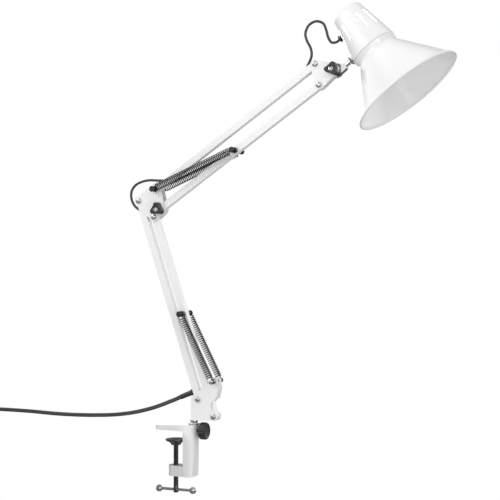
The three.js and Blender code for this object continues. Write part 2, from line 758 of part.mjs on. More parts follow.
function buildLowerArm() {
  const turn = lift(LOWER_ANGLE);
  const rear = bar(
    LOWER_ARM,
    [[0, SCREW_RADIUS], [LOWER_ARM, SCREW_RADIUS]],
    [
      [GROMMET_UP - GROMMET_RADIUS, GROMMET_UP + GROMMET_RADIUS, GROMMET_SLOT],
      [LOWER_ARM - LEAD_SLOT_END - LEAD_SLOT, LOWER_ARM - LEAD_SLOT_END, LEAD_SLOT_WIDTH],
    ],
  );
  piece(lamp, "lower_rear_bar", WHITE_PAINT, rear, BASE_REAR, turn);
  const front = bar(LOWER_ARM, [
    [0, SCREW_RADIUS],
    [LOWER_SPRING_REACH, PIN_RADIUS],
    [LOWER_ARM, SCREW_RADIUS],
  ]);
  piece(lamp, "lower_front_bar", WHITE_PAINT, front, BASE_FRONT, turn);
  piece(lamp, "lower_spring_pin", BLACK_STEEL, springPin(BAR / 2 + GAP), LOWER_PIN);
  springPair(lamp, "lower", LOWER_PIN, BASE_EAR, LOWER_SPRING_RADIUS);
  const inner = rod(
    LEAD_RADIUS,
    at(GROMMET_UP + GROMMET_RADIUS + 4, 0),
    at(LOWER_ARM - LEAD_SLOT_END - LEAD_SLOT - GAP, 0),
    8,
  );
  piece(lamp, "lower_bar_lead", BLACK_CORD, inner, BASE_REAR, turn);
}

// ---------------------------------------------------------------- elbow

function buildElbow() {
  const rear = round(ELBOW_REAR, PIVOT_EDGE);
  const front = round(ELBOW_FRONT, PIVOT_EDGE);
  const main = round(UPPER_MAIN, KNOB_EDGE);
  const cable = round(UPPER_CABLE, SPRING_EDGE);
  const folded = bracket(belt([front, main, cable, rear]), [web(cable, rear, 0.34, 0.8)], [
    [ELBOW_REAR, SCREW_RADIUS],
    [ELBOW_FRONT, SCREW_RADIUS],
    [UPPER_MAIN, SCREW_RADIUS],
    [UPPER_CABLE, PIN_RADIUS],
  ]);
  piece(lamp, "elbow_bracket", WHITE_PAINT, folded);
  piece(lamp, "elbow_rear_screw", CHROME, pivotScrew(), ELBOW_REAR);
  piece(lamp, "elbow_front_screw", CHROME, pivotScrew(), ELBOW_FRONT);
  piece(lamp, "elbow_tension_bolt", CHROME, tensionBolt(0), UPPER_MAIN);
  piece(lamp, "elbow_knob", BLACK_PLASTIC, lobedKnob(-PLATE_OUT - GAP, ELBOW_KNOB_TURN), UPPER_MAIN);
  piece(lamp, "elbow_spring_pin", BLACK_STEEL, springPin(PLATE_OUT + GAP), UPPER_CABLE);
}

// ---------------------------------------------------------------- upper arm

function buildUpperArm() {
  const turn = lift(UPPER_ANGLE);
  const main = bar(UPPER_ARM, [
    [0, SCREW_RADIUS],
    [UPPER_SPRING_REACH, PIN_RADIUS],
    [UPPER_ARM, SCREW_RADIUS],
  ]);
  piece(lamp, "upper_main_bar", WHITE_PAINT, main, UPPER_MAIN, turn);
  const cable = bar(
    UPPER_ARM,
    [[0, PIN_RADIUS], [UPPER_ARM, SCREW_RADIUS]],
    [
      [LEAD_SLOT_END, LEAD_SLOT_END + LEAD_SLOT, LEAD_SLOT_WIDTH],
      [UPPER_ARM - LEAD_SLOT_END - LEAD_SLOT, UPPER_ARM - LEAD_SLOT_END, LEAD_SLOT_WIDTH],
    ],
  );
  piece(lamp, "upper_cable_bar", WHITE_PAINT, cable, UPPER_CABLE, turn);
  piece(lamp, "upper_spring_pin", BLACK_STEEL, springPin(BAR / 2 + GAP), UPPER_PIN);
  springPair(lamp, "upper", UPPER_CABLE, UPPER_PIN, UPPER_SPRING_RADIUS);
  const inner = rod(
    LEAD_RADIUS,
    at(LEAD_SLOT_END + LEAD_SLOT + GAP, 0),
    at(UPPER_ARM - LEAD_SLOT_END - LEAD_SLOT - GAP, 0),
    8,
  );
  piece(lamp, "upper_bar_lead", BLACK_CORD, inner, UPPER_CABLE, turn);
}

// ---------------------------------------------------------------- head

function buildHead() {
  const upper = round(HEAD_CABLE, PIVOT_EDGE);
  const lower = round(HEAD_MAIN, PIVOT_EDGE);
  const tilt = round(TILT_AXIS, SPRING_EDGE);
  const folded = bracket(belt([lower, tilt, upper]), [web(tilt, upper, 0.4, 0.68)], [
    [HEAD_CABLE, SCREW_RADIUS],
    [HEAD_MAIN, SCREW_RADIUS],
    [TILT_AXIS, SCREW_RADIUS],
  ]);
  piece(lamp, "head_bracket", WHITE_PAINT, folded);
  piece(lamp, "head_upper_screw", CHROME, pivotScrew(), HEAD_CABLE);
  piece(lamp, "head_lower_screw", CHROME, pivotScrew(), HEAD_MAIN);
  piece(lamp, "head_tension_bolt", CHROME, tensionBolt(DISC_THICK + GAP), TILT_AXIS);
  piece(lamp, "head_knob", BLACK_PLASTIC, lobedKnob(-PLATE_OUT - GAP, HEAD_KNOB_TURN), TILT_AXIS);

  const discFrom = PLATE_OUT + GAP;
  const hole = SCREW_RADIUS + PLAY;
  const disc = turned(
    [
      [hole, discFrom],
      [DISC_RADIUS, discFrom],
      [DISC_RADIUS, discFrom + DISC_THICK],
      [hole, discFrom + DISC_THICK],
      [hole, discFrom],
    ],
    at(0, 0),
    new THREE.Vector3(0, 1, 0),
    WIDE_SIDES,
  );
  piece(lamp, "knuckle_disc", CHROME, disc, TILT_AXIS);

  // Local x runs out along the rod and local z up the shade's axis; the origin is the tilt axis.
  const head = group(lamp, TILT_AXIS, lift(90 - SHADE_DOWN));
  const block = plate(
    belt([
      [0, -ROD_BELOW, ROD_RADIUS + 2],
      [KNUCKLE_LENGTH, -ROD_BELOW, ROD_RADIUS + 1.6],
      [0, 0, KNUCKLE_RADIUS],
    ]),
    -BAR / 2,
    BAR / 2,
  );
  const [rodFrom, rodTo] = [at(0, -ROD_BELOW), at(ROD_TO_AXIS - HOLDER_RADIUS - ROD_TO_HOLDER, -ROD_BELOW)];
  const rodBore = rod(ROD_RADIUS + PLAY, rodFrom, rodTo, ROUND_SIDES);
  const boltBore = crossRod(SCREW_RADIUS + GAP, at(0, 0), -BAR, BAR);
  piece(head, "head_knuckle", CHROME, cut(block, rodBore, boltBore));
  const rodShape = rod(ROD_RADIUS, along(rodFrom, at(1, 0), GAP), rodTo, ROUND_SIDES);
  piece(head, "lamp_rod", CHROME, rodShape);

  const shade = group(head, at(ROD_TO_AXIS, -ROD_BELOW - ROD_HEIGHT));
  const rodHole = rod(ROD_RADIUS + PLAY, at(-CAP_BASE_RADIUS - 5, ROD_HEIGHT), at(0, ROD_HEIGHT), ROUND_SIDES);
  buildCone(shade, rodHole);
  buildCap(shade, rodHole);
  buildHolder(shade);
}

// The cap's outside radius at a height above the rim: straight from its base to its top edge.
function capRadius(height) {
  const share = (height - CAP_BASE_HEIGHT) / (CAP_HEIGHT - CAP_EDGE - CAP_BASE_HEIGHT);
  return THREE.MathUtils.lerp(CAP_BASE_RADIUS, CAP_TOP_RADIUS, share);
}

function nut(radius, thick, bore, x0) {
  const blank = rod(radius, at(x0, ROD_HEIGHT), at(x0 + thick, ROD_HEIGHT), 6);
  return cut(blank, rod(bore, at(x0 - 1, ROD_HEIGHT), at(x0 + thick + 1, ROD_HEIGHT), ROUND_SIDES));
}

function buildCone(shade, rodHole) {
  const lipTop = 2 * RIM_LIP;
  const neckInside = NECK_RADIUS - SHADE_WALL;
  const collarOut = CAP_BASE_RADIUS - SHADE_WALL - GAP;
  const collarTop = CAP_BASE_HEIGHT + COLLAR_DEPTH;
  const collarTopOut = capRadius(collarTop) - SHADE_WALL - GAP;
  const seam = CAP_BASE_HEIGHT - GAP;
  const cone = turned(
    [
      [RIM_RADIUS - RIM_LIP * 1.6, 0.4],
      [RIM_RADIUS - RIM_LIP * 0.6, 0],
      [RIM_RADIUS, RIM_LIP * 0.7],
      [RIM_RADIUS - RIM_LIP * 0.3, lipTop * 0.9],
      [RIM_RADIUS - RIM_LIP, lipTop + 1.5],
      [NECK_RADIUS, NECK_HEIGHT],
      [CAP_BASE_RADIUS, seam - 1],
      [CAP_BASE_RADIUS, seam],
      [collarOut, seam],
      [collarTopOut, collarTop],
      [collarTopOut - SHADE_WALL, collarTop],
      [collarOut - SHADE_WALL, seam - 1],
      [neckInside - 0.3, NECK_HEIGHT],
      [RIM_RADIUS - RIM_LIP - 2, lipTop + 1],
      [RIM_RADIUS - RIM_LIP * 1.6, 0.4],
    ],
    at(0, 0),
    new THREE.Vector3(0, 0, 1),
    SHADE_SIDES,
  );
  piece(shade, "shade_cone", WHITE_PAINT, cut(cone, rodHole));
}

function buildCap(shade, rodHole) {
  const edge = CAP_HEIGHT - CAP_EDGE;
  const arc = [1 / 3, 2 / 3, 1].map((share) => {
    const a = (share * Math.PI) / 2;
    return [CAP_TOP_RADIUS - CAP_EDGE * (1 - Math.cos(a)), edge + CAP_EDGE * Math.sin(a)];
  });
  const inside = CAP_HEIGHT - SHADE_WALL;
  const cap = turned(
    [
      [CAP_BASE_RADIUS - SHADE_WALL, CAP_BASE_HEIGHT],
      [CAP_BASE_RADIUS, CAP_BASE_HEIGHT],
      [CAP_TOP_RADIUS, edge],
      ...arc,
      [0, CAP_HEIGHT],
      [0, inside],
      [CAP_TOP_RADIUS - CAP_EDGE, inside],
      [CAP_TOP_RADIUS - SHADE_WALL, edge],
      [CAP_BASE_RADIUS - SHADE_WALL, CAP_BASE_HEIGHT],
    ],
    at(0, 0),
    new THREE.Vector3(0, 0, 1),
    SHADE_SIDES,
  );
  const ventTools = [];
  for (let i = 0; i < VENTS; i++) {
    const degrees = (360 * i) / VENTS;
    if (Math.abs(degrees - 180) < 1) continue; // the gland and the rod take this place
    const [inner, outer, half] = [CAP_TOP_RADIUS / 2, CAP_BASE_RADIUS + 5, VENT_WIDTH / 2];
    const slot = box(inner, outer, -half, half, VENT_FROM, VENT_TO);
    ventTools.push(slot.rotateZ(THREE.MathUtils.degToRad(degrees)));
  }
  const glandHole = GLAND_RADIUS - GLAND_SHOULDER;
  const glandBore = rod(glandHole, at(-CAP_BASE_RADIUS - 5, GLAND_HEIGHT), at(0, GLAND_HEIGHT), ROUND_SIDES);
  piece(shade, "shade_cap", WHITE_PAINT, cut(cap, rodHole, glandBore, ...ventTools));

  // The gland: a flange outside the wall, a neck through it and a snap ring inside.
  const wall = capRadius(GLAND_HEIGHT);
  const neck = glandHole - GAP;
  const bore = LEAD_RADIUS + GAP;
  const flangeTo = GLAND_STANDOFF + GLAND_FLANGE;
  const snapAt = -SHADE_WALL - GLAND_STANDOFF;
  const gland = turned(
    [
      [bore, -GLAND_LENGTH],
      [glandHole + GLAND_SNAP, -GLAND_LENGTH],
      [glandHole + GLAND_SNAP, snapAt],
      [neck, snapAt],
      [neck, GLAND_STANDOFF],
      [GLAND_RADIUS, GLAND_STANDOFF],
      [GLAND_RADIUS, flangeTo - 0.8],
      [GLAND_RADIUS - 1.2, flangeTo],
      [bore, flangeTo],
      [bore, -GLAND_LENGTH],
    ],
    at(-wall, GLAND_HEIGHT),
    new THREE.Vector3(-1, 0, 0),
  );
  piece(shade, "cable_gland", BLACK_PLASTIC, gland);
}

function buildHolder(shade) {
  const up = new THREE.Vector3(0, 0, 1);
  const wallAtRod = capRadius(ROD_HEIGHT);
  const rodBore = ROD_RADIUS + GAP;
  const outerFrom = -wallAtRod - NUT_STANDOFF - FLANGE_THICK;
  piece(shade, "rod_nut_outer", CHROME, nut(FLANGE_RADIUS, FLANGE_THICK, rodBore, outerFrom));
  const strapFrom = -wallAtRod + STRAP_IN;
  const nutFrom = strapFrom + STRAP_THICK + GAP;
  piece(shade, "rod_nut_inner", CHROME, nut(FLANGE_RADIUS - 1, FLANGE_THICK, rodBore, nutFrom));

  const holderTop = HOLDER_RIM + HOLDER_HEIGHT;
  const strapTop = holderTop + GAP;
  const half = STRAP_WIDTH / 2;
  const strapBottom = ROD_HEIGHT - FLANGE_RADIUS - 1;
  const strap = join(
    box(strapFrom, strapFrom + STRAP_THICK, -half, half, strapBottom, strapTop + STRAP_THICK),
    box(strapFrom, half, -half, half, strapTop, strapTop + STRAP_THICK),
  );
  const strapHole = rod(
    rodBore,
    at(strapFrom - 1, ROD_HEIGHT),
    at(strapFrom + STRAP_THICK + 1, ROD_HEIGHT),
    ROUND_SIDES,
  );
  piece(shade, "holder_strap", CHROME, cut(strap, strapHole));

  const inner = HOLDER_RADIUS - HOLDER_WALL;
  const socketTop = holderTop - HOLDER_BASE;
  const holder = turned(
    [
      [inner, HOLDER_RIM],
      [HOLDER_RADIUS, HOLDER_RIM],
      [HOLDER_RADIUS, holderTop - HOLDER_SHOULDER],
      [HOLDER_RADIUS - HOLDER_TAPER, holderTop],
      [0, holderTop],
      [0, socketTop],
      [inner, socketTop],
      [inner, HOLDER_RIM],
    ],
    at(0, 0),
    up,
    WIDE_SIDES,
  );
  piece(shade, "lamp_holder", CERAMIC, holder);

  const shellTop = socketTop - GAP;
  const shellBottom = shellTop - THREAD_DEPTH;
  const shell = turned(
    [
      [THREAD_RADIUS, shellBottom],
      [THREAD_RADIUS + THREAD_WALL, shellBottom],
      [THREAD_RADIUS + THREAD_WALL, shellTop],
      [CONTACT_RADIUS, shellTop],
      [CONTACT_RADIUS, shellTop - THREAD_WALL],
      [THREAD_RADIUS, shellTop - THREAD_WALL],
      [THREAD_RADIUS, shellBottom],
    ],
    at(0, 0),
    up,
    WIDE_SIDES,
  );
  piece(shade, "holder_thread", BRASS, shell);
}

// ---------------------------------------------------------------- leads between the bodies

function buildLeads() {
  const lowerLeft = heading(LOWER_ANGLE + 90);
  const upperTop = heading(UPPER_ANGLE + 90);
  const inLower = along(ELBOW_REAR, LOWER_DIR, -LEAD_SLOT_END - LEAD_SLOT);
  const inUpper = along(UPPER_CABLE, UPPER_DIR, LEAD_SLOT_END + LEAD_SLOT);
  const half = BAR / 2;
  const elbowRoute = [
    inLower,
    along(along(inLower, LOWER_DIR, 5), lowerLeft, 0.6),
    along(along(inLower, LOWER_DIR, 10.5), lowerLeft, half - 0.6),
    at(-66.6, 321.5),
    at(-71.6, 332),
    at(-71, 343),
    at(-64, 351.6),
    at(-53, 356.2),
    at(-41.5, 357.8),
    at(-30, 357.2),
    along(along(inUpper, UPPER_DIR, -11), upperTop, half + 0.8),
    along(along(inUpper, UPPER_DIR, -5), upperTop, 0.8),
    inUpper,
  ];
  piece(lamp, "elbow_lead", BLACK_CORD, tube(elbowRoute, LEAD_RADIUS, 26));

  const inHead = along(HEAD_CABLE, UPPER_DIR, -LEAD_SLOT_END - LEAD_SLOT);
  const shadeUp = SHADE_DIR.clone().negate();
  const onAxis = along(RIM_CENTRE, shadeUp, GLAND_HEIGHT);
  const glandOut = ROD_DIR.clone().negate();
  const glandFace = along(onAxis, glandOut, capRadius(GLAND_HEIGHT) + GLAND_STANDOFF + GLAND_FLANGE + GAP);
  const headRoute = [
    inHead,
    along(along(inHead, UPPER_DIR, 5), upperTop, 0.7),
    along(along(inHead, UPPER_DIR, 11.5), upperTop, half + 0.2),
    at(205.6, 523.5),
    at(204.4, 534),
    at(199, 544.5),
    at(196.6, 555),
    at(201.8, 566),
    at(212, 570.6),
    at(222.4, 567),
    at(226.8, 557.5),
    at(229.6, 547.6),
    at(234.6, 540.3),
    along(glandFace, glandOut, 4),
    glandFace,
  ];
  piece(lamp, "head_lead", BLACK_CORD, tube(headRoute, LEAD_RADIUS, 30));
}

// ---------------------------------------------------------------- mains cord

// Where the lead that swings with the arm meets the cord that lies on the desk.
const CORD_SPLIT = at(-8, 40.4, 6);

// The cord's route to the coil: it sags to the desk and then lies on it.
const CORD_TO_COIL = [
  at(-38, 29.6, 25),
  at(-60, 22.6, 37),
  at(-83, 16.4, 47),
  at(-105, 11.5, 57),
  at(-127, 7.7, 65),
  at(-147, 5.1, 71),
  at(-166, 3.7, 73),
  at(-182, 3.1, 71.5),
  at(-197, 3, 69),
  at(-213, 3, 67.5),
  at(-231, 3, 68),
  at(-250, 3, 70.5),
  at(-269, 3, 75),
  at(-292, 3, 79.5),
  at(-318, 3, 82),
  at(-344, 3, 83),
  at(-367.5, 3, 83),
];

// From the coil to the switch, and from the switch to the plug.
const CORD_TO_SWITCH = [
  at(-434.6, 7.6, 30),
  at(-432.5, 5, 16),
  at(-430, 3.4, 2),
  at(-424, 3.2, -12),
  at(-415, 4.6, -20),
  at(-406.5, 5.9, -22),
  at(-400.5, 6, -22),
];
const CORD_TO_PLUG = [
  at(-335.5, 6, -22),
  at(-329.5, 5.9, -22),
  at(-320, 4.4, -25.4),
  at(-312, 3.2, -33),
  at(-308.6, 3.2, -46),
  at(-312, 4.4, -59),
  at(-320, 6.6, -67),
  at(-328, 7.6, -70),
  at(-333.5, 7.6, -70),
];

function buildGrommet() {
  const lowerLeft = heading(LOWER_ANGLE + 90);
  const seat = along(BASE_REAR, LOWER_DIR, GROMMET_UP);
  const axis = lowerLeft.clone().add(heading(GROMMET_FALL)).normalize();
  const start = along(seat, lowerLeft, BAR / 2 + GAP);
  const cordStart = GROMMET_LENGTH - GROMMET_MOUTH;
  const sleeve = turned(
    [
      [0, 0],
      [GROMMET_RADIUS, 0],
      [GROMMET_RADIUS, GROMMET_COLLAR],
      [CORD_RADIUS + 0.9, GROMMET_LENGTH],
      [0, GROMMET_LENGTH],
    ],
    start,
    axis,
  );
  const barSide = box(0, BAR * 3, -BAR, BAR, -BAR * 2, BAR / 2 + GAP);
  barSide.rotateY(lift(LOWER_ANGLE)).translate(BASE_REAR.x, 0, BASE_REAR.z);
  const [mouthFrom, mouthTo] = [along(start, axis, cordStart), along(start, axis, GROMMET_LENGTH + 1)];
  const mouth = rod(CORD_RADIUS + GAP, mouthFrom, mouthTo, ROUND_SIDES);
  piece(lamp, "cord_grommet", BLACK_PLASTIC, cut(sleeve, barSide, mouth));
  return { exit: along(start, axis, cordStart + GAP), axis };
}

function buildCord() {
  const { exit, axis } = buildGrommet();
  const away = CORD_TO_COIL[0].clone().sub(CORD_SPLIT).normalize();
  const lead = [exit, along(exit, axis, 7), along(CORD_SPLIT, away, -6), CORD_SPLIT];
  piece(lamp, "mains_lead", BLACK_CORD, tube(lead, CORD_RADIUS, 4));
  const main = [along(CORD_SPLIT, away, GAP), along(CORD_SPLIT, away, 8), ...CORD_TO_COIL];
  piece(lamp, "mains_cord", BLACK_CORD, tube(main, CORD_RADIUS, 28));
  piece(lamp, "cord_to_switch", BLACK_CORD, tube(CORD_TO_SWITCH, CORD_RADIUS, 8));
  piece(lamp, "cord_to_plug", BLACK_CORD, tube(CORD_TO_PLUG, CORD_RADIUS, 8));

  const top = COIL_LAYERS * 2 * CORD_RADIUS + GAP;
  const inside = COIL_INNER - CORD_RADIUS;
  const outside = COIL_OUTER + CORD_RADIUS;
  const ring = turned(
    [
      [inside + 1.5, 0],
      [outside - 1.5, 0],
      [outside, 1.5],
      [outside, top - 1.5],
      [outside - 1.5, top],
      [inside + 1.5, top],
      [inside, top - 1.5],
      [inside, 1.5],
      [inside + 1.5, 0],
    ],
    at(COIL_CENTRE.x, 0, COIL_CENTRE.y),
    new THREE.Vector3(0, 0, 1),
    WIDE_SIDES,
  );
  piece(lamp, "cord_coil", BLACK_CORD, ring);
}

// ---------------------------------------------------------------- switch on the cord

function roundedRectangle(length, width, radius) {
  const [x, y] = [length / 2 - radius, width / 2 - radius];
  return belt([
    [x, -y, radius],
    [x, y, radius],
    [-x, y, radius],
    [-x, -y, radius],
  ]);
}

function oval(length, width) {
  return belt([
    [(width - length) / 2, 0, width / 2],
    [(length - width) / 2, 0, width / 2],
  ]);
}

function buildSwitch() {
  const place = at(SWITCH_CENTRE.x, 0, SWITCH_CENTRE.y);
  const edge = SWITCH_EDGE;
  const inset = roundedRectangle(SWITCH_LENGTH - 2 * edge, SWITCH_WIDTH - 2 * edge, SWITCH_CORNER - edge / 2);
  const full = roundedRectangle(SWITCH_LENGTH, SWITCH_WIDTH, SWITCH_CORNER);
  const body = join(slab(inset, 0, SWITCH_HEIGHT, 2), slab(full, edge, SWITCH_HEIGHT - edge, 2));
  const floor = SWITCH_HEIGHT - ROCKER_POCKET;
  const opening = oval(ROCKER_LENGTH + 2 * ROCKER_CLEAR, ROCKER_WIDTH + 2 * ROCKER_CLEAR);
  const pocket = slab(opening, floor, SWITCH_HEIGHT + 1);
  piece(lamp, "switch_housing", BLACK_PLASTIC, cut(body, pocket), place);

  const axisZ = SWITCH_HEIGHT - ROCKER_AXIS_DOWN;
  const top = SWITCH_HEIGHT + ROCKER_PROUD - axisZ;
  const blank = slab(oval(ROCKER_LENGTH, ROCKER_WIDTH), floor + ROCKER_TRAVEL - axisZ, top + 3);
  const crown = crossRod(ROCKER_CROWN, at(0, top - ROCKER_CROWN), -ROCKER_WIDTH, ROCKER_WIDTH, 60);
  piece(lamp, "switch_rocker", BLACK_PLASTIC, keep(blank, crown), along(place, at(0, 1), axisZ));
}

// ---------------------------------------------------------------- plug on the cord

function buildPlug() {
  // Local x runs from the strain relief's tip to the pins.
  const plug = group(lamp, at(PLUG_TIP.x, PLUG_Z, PLUG_TIP.y));
  plug.rotation.z = Math.PI;
  const bodyFrom = PLUG_RELIEF_LENGTH;
  const flangeFrom = bodyFrom + PLUG_BODY_LENGTH;
  const face = flangeFrom + PLUG_FLANGE_THICK;
  const plan = new THREE.Shape();
  const half = PLUG_BODY_WIDTH / 2;
  const [narrow, wide] = [bodyFrom + PLUG_TAPER * 0.3, bodyFrom + PLUG_TAPER * 0.55];
  plan.moveTo(bodyFrom, -PLUG_NECK);
  plan.bezierCurveTo(narrow, -PLUG_NECK - 2, wide, -half, bodyFrom + PLUG_TAPER, -half);
  plan.lineTo(flangeFrom + 1, -half);
  plan.lineTo(flangeFrom + 1, half);
  plan.lineTo(bodyFrom + PLUG_TAPER, half);
  plan.bezierCurveTo(wide, half, narrow, PLUG_NECK + 2, bodyFrom, PLUG_NECK);
  plan.closePath();
  const thick = PLUG_BODY_THICK / 2;
  const [flangeHalf, flangeUp] = [PLUG_FLANGE_WIDTH / 2, PLUG_FLANGE_HEIGHT / 2];
  const flange = box(flangeFrom, face, -flangeHalf, flangeHalf, -flangeUp, flangeUp);
  const reliefTo = PLUG_RELIEF_LENGTH + 1;
  const relief = turned(
    [[0, 0], [CORD_RADIUS + 0.8, 0], [PLUG_NECK - 0.6, reliefTo], [0, reliefTo]],
    at(0, 0),
    new THREE.Vector3(1, 0, 0),
  );
  const pins = [-1, 1].map((side) => (side * PLUG_PIN_SPACING) / 2);
  const socket = face - PLUG_PIN_SOCKET;
  const bores = pins.map((y) => rod(PLUG_PIN_RADIUS + GAP, at(socket, 0, y), at(face + 1, 0, y)));
  piece(plug, "plug_body", BLACK_PLASTIC, cut(join(slab(plan, -thick, thick), flange, relief), ...bores));
  pins.forEach((y, i) => {
    const from = socket + GAP;
    const length = face + PLUG_PIN_LENGTH - from;
    const profile = [
      [0, 0],
      [PLUG_PIN_RADIUS, 0],
      [PLUG_PIN_RADIUS, length - 1.6],
      [PLUG_PIN_RADIUS - 1, length - 0.2],
      [0, length],
    ];
    const name = i ? "plug_pin_right" : "plug_pin_left";
    piece(plug, name, CHROME, turned(profile, at(from, 0, y), new THREE.Vector3(1, 0, 0), HOLE_SIDES));
  });
}

buildClamp();
buildBase();
buildLowerArm();
buildElbow();
buildUpperArm();
buildHead();
buildLeads();
buildCord();
buildSwitch();
buildPlug();

export default lamp;
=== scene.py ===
"""Swing arm desk lamp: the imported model's visible pieces, their finishes, and a plain studio.

Every length is in metres, in the model's own frame: +Z up, the arms in the XZ plane, and the origin
on the clamp screw's axis in the underside of the jaw.
"""
import json
import logging
import math
from contextlib import contextmanager
from dataclasses import dataclass, field
from enum import Enum
from typing import Callable, Iterator, Sequence

import bmesh
import bpy
from mathutils import Matrix, Vector


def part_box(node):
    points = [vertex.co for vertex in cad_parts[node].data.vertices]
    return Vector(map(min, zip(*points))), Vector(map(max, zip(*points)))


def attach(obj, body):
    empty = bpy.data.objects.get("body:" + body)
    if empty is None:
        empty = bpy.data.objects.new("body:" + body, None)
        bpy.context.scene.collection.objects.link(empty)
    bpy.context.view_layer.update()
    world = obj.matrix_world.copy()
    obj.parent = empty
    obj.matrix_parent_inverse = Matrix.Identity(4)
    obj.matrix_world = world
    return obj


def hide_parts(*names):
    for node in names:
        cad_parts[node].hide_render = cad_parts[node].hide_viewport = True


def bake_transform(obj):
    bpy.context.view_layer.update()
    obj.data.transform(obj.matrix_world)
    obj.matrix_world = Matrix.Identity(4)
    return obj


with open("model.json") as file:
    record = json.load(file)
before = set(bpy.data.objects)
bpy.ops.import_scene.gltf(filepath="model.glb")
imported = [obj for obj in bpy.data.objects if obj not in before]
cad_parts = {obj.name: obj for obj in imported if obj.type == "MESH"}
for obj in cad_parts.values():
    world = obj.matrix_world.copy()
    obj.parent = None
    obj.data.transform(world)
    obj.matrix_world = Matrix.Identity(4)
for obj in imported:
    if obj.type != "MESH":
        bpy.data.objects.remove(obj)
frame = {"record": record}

log = logging.getLogger("lamp")
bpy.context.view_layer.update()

MM = 0.001
UP = Vector((0.0, 0.0, 1.0))
ACROSS = Vector((0.0, 1.0, 0.0))
OUT = Vector((1.0, 0.0, 0.0))


# ------------------------------------------------------------------ places in the frame


def pivot(joint: str) -> Vector:
    """Gives where a joint's axis crosses the lamp's middle plane.

    Args:
        joint: The joint's name in the record.

    Returns:
        The joint's point in metres.
    """
    found = next(j for j in frame["record"]["behaviour"]["joints"] if j["name"] == joint)
    return Vector(found["pos_m"])


def middle(node: str) -> Vector:
    """Gives the centre of a CAD node's box."""
    low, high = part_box(node)
    return (Vector(low) + Vector(high)) / 2


def size(node: str) -> Vector:
    """Gives the length of each side of a CAD node's box."""
    low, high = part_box(node)
    return Vector(high) - Vector(low)


def flat(point: Vector, y: float = 0.0) -> Vector:
    """Gives a point moved square to the middle plane, to the given y."""
    return Vector((point.x, y, point.z))


def heading(degrees: float) -> Vector:
    """Gives a direction in the middle plane, from +X towards +Z."""
    a = math.radians(degrees)
    return Vector((math.cos(a), 0.0, math.sin(a)))


class Side(Enum):
    """The two sides of the lamp's middle plane."""

    NEAR = -1
    FAR = 1

    @property
    def word(self) -> str:
        """The side's word in a piece's name."""
        return self.name.lower()


class Ends(Enum):
    """How the two ends of a turned piece are closed."""

    CAPPED = "a face over each end"
    LOOPED = "the last ring joined to the first"


class Cut(Enum):
    """What a tool does to the piece that it is used on."""

    AWAY = "DIFFERENCE"
    ONTO = "UNION"


# ------------------------------------------------------------------ bench work


def select_only(piece: bpy.types.Object) -> None:
    """Makes one object the only selected one, and the active one."""
    bpy.ops.object.select_all(action="DESELECT")
    piece.select_set(True)
    bpy.context.view_layer.objects.active = piece


@contextmanager
def editing(piece: bpy.types.Object) -> Iterator[bmesh.types.BMesh]:
    """Opens a piece in edit mode with nothing selected.

    Args:
        piece: The piece to edit.

    Yields:
        Its edit mesh, to pick faces and edges in.
    """
    select_only(piece)
    bpy.ops.object.mode_set(mode="EDIT")
    bpy.ops.mesh.select_all(action="DESELECT")
    yield bmesh.from_edit_mesh(piece.data)
    bpy.ops.object.mode_set(mode="OBJECT")


def pick_edges(mesh: bmesh.types.BMesh, test: Callable[[bmesh.types.BMEdge], bool]) -> None:
    """Selects the edges that pass a test."""
    bpy.ops.mesh.select_mode(type="EDGE")
    for edge in mesh.edges:
        edge.select_set(test(edge))


def settle(piece: bpy.types.Object) -> bpy.types.Object:
    """Puts a piece's place and turn into its mesh."""
    select_only(piece)
    bpy.ops.object.transform_apply(location=True, rotation=True, scale=True)
    return piece


def place(piece: bpy.types.Object, foot: Vector, axis: Vector = UP) -> bpy.types.Object:
    """Stands a piece that was made on the Z axis on another axis.

    Args:
        piece: The piece, made at the origin.
        foot: Where its origin goes.
        axis: Where its +Z points.

    Returns:
        The same piece, settled.
    """
    piece.rotation_mode = "QUATERNION"
    piece.rotation_quaternion = UP.rotation_difference(axis.normalized())
    piece.location = foot
    return settle(piece)


def swing(piece: bpy.types.Object, foot: Vector, degrees: float) -> bpy.types.Object:
    """Turns a piece about Y, so that its +X climbs by an angle, and moves its origin to a point."""
    piece.matrix_world = Matrix.Translation(foot) @ Matrix.Rotation(-math.radians(degrees), 4, "Y")
    return settle(piece)


def apply_modifier(piece: bpy.types.Object, kind: str, **settings: object) -> bpy.types.Object:
    """Adds a modifier with its settings and applies it.

    Args:
        piece: The piece to change.
        kind: The modifier's type.
        **settings: Its properties and their values.

    Returns:
        The same piece.
    """
    select_only(piece)
    bpy.ops.object.modifier_add(type=kind)
    modifier = piece.modifiers[-1]
    for name, value in settings.items():
        setattr(modifier, name, value)
    bpy.ops.object.modifier_apply(modifier=modifier.name)
    return piece


def use_tool(piece: bpy.types.Object, tool: bpy.types.Object, cut: Cut = Cut.AWAY) -> bpy.types.Object:
    """Cuts a tool's shape away from a piece, or joins it on, and clears the tool away."""
    apply_modifier(piece, "BOOLEAN", operation=cut.value, solver="EXACT", object=tool)
    bpy.data.objects.remove(tool)
    return piece


def tidy(piece: bpy.types.Object) -> bpy.types.Object:
    """Merges a piece's doubles, joins its flat faces and points all its faces outwards."""
    with editing(piece):
        bpy.ops.mesh.select_all(action="SELECT")
        bpy.ops.mesh.remove_doubles(threshold=0.00001)
        bpy.ops.mesh.dissolve_limited(angle_limit=math.radians(0.5))
        bpy.ops.mesh.select_all(action="SELECT")
        bpy.ops.mesh.normals_make_consistent(inside=False)
    return piece


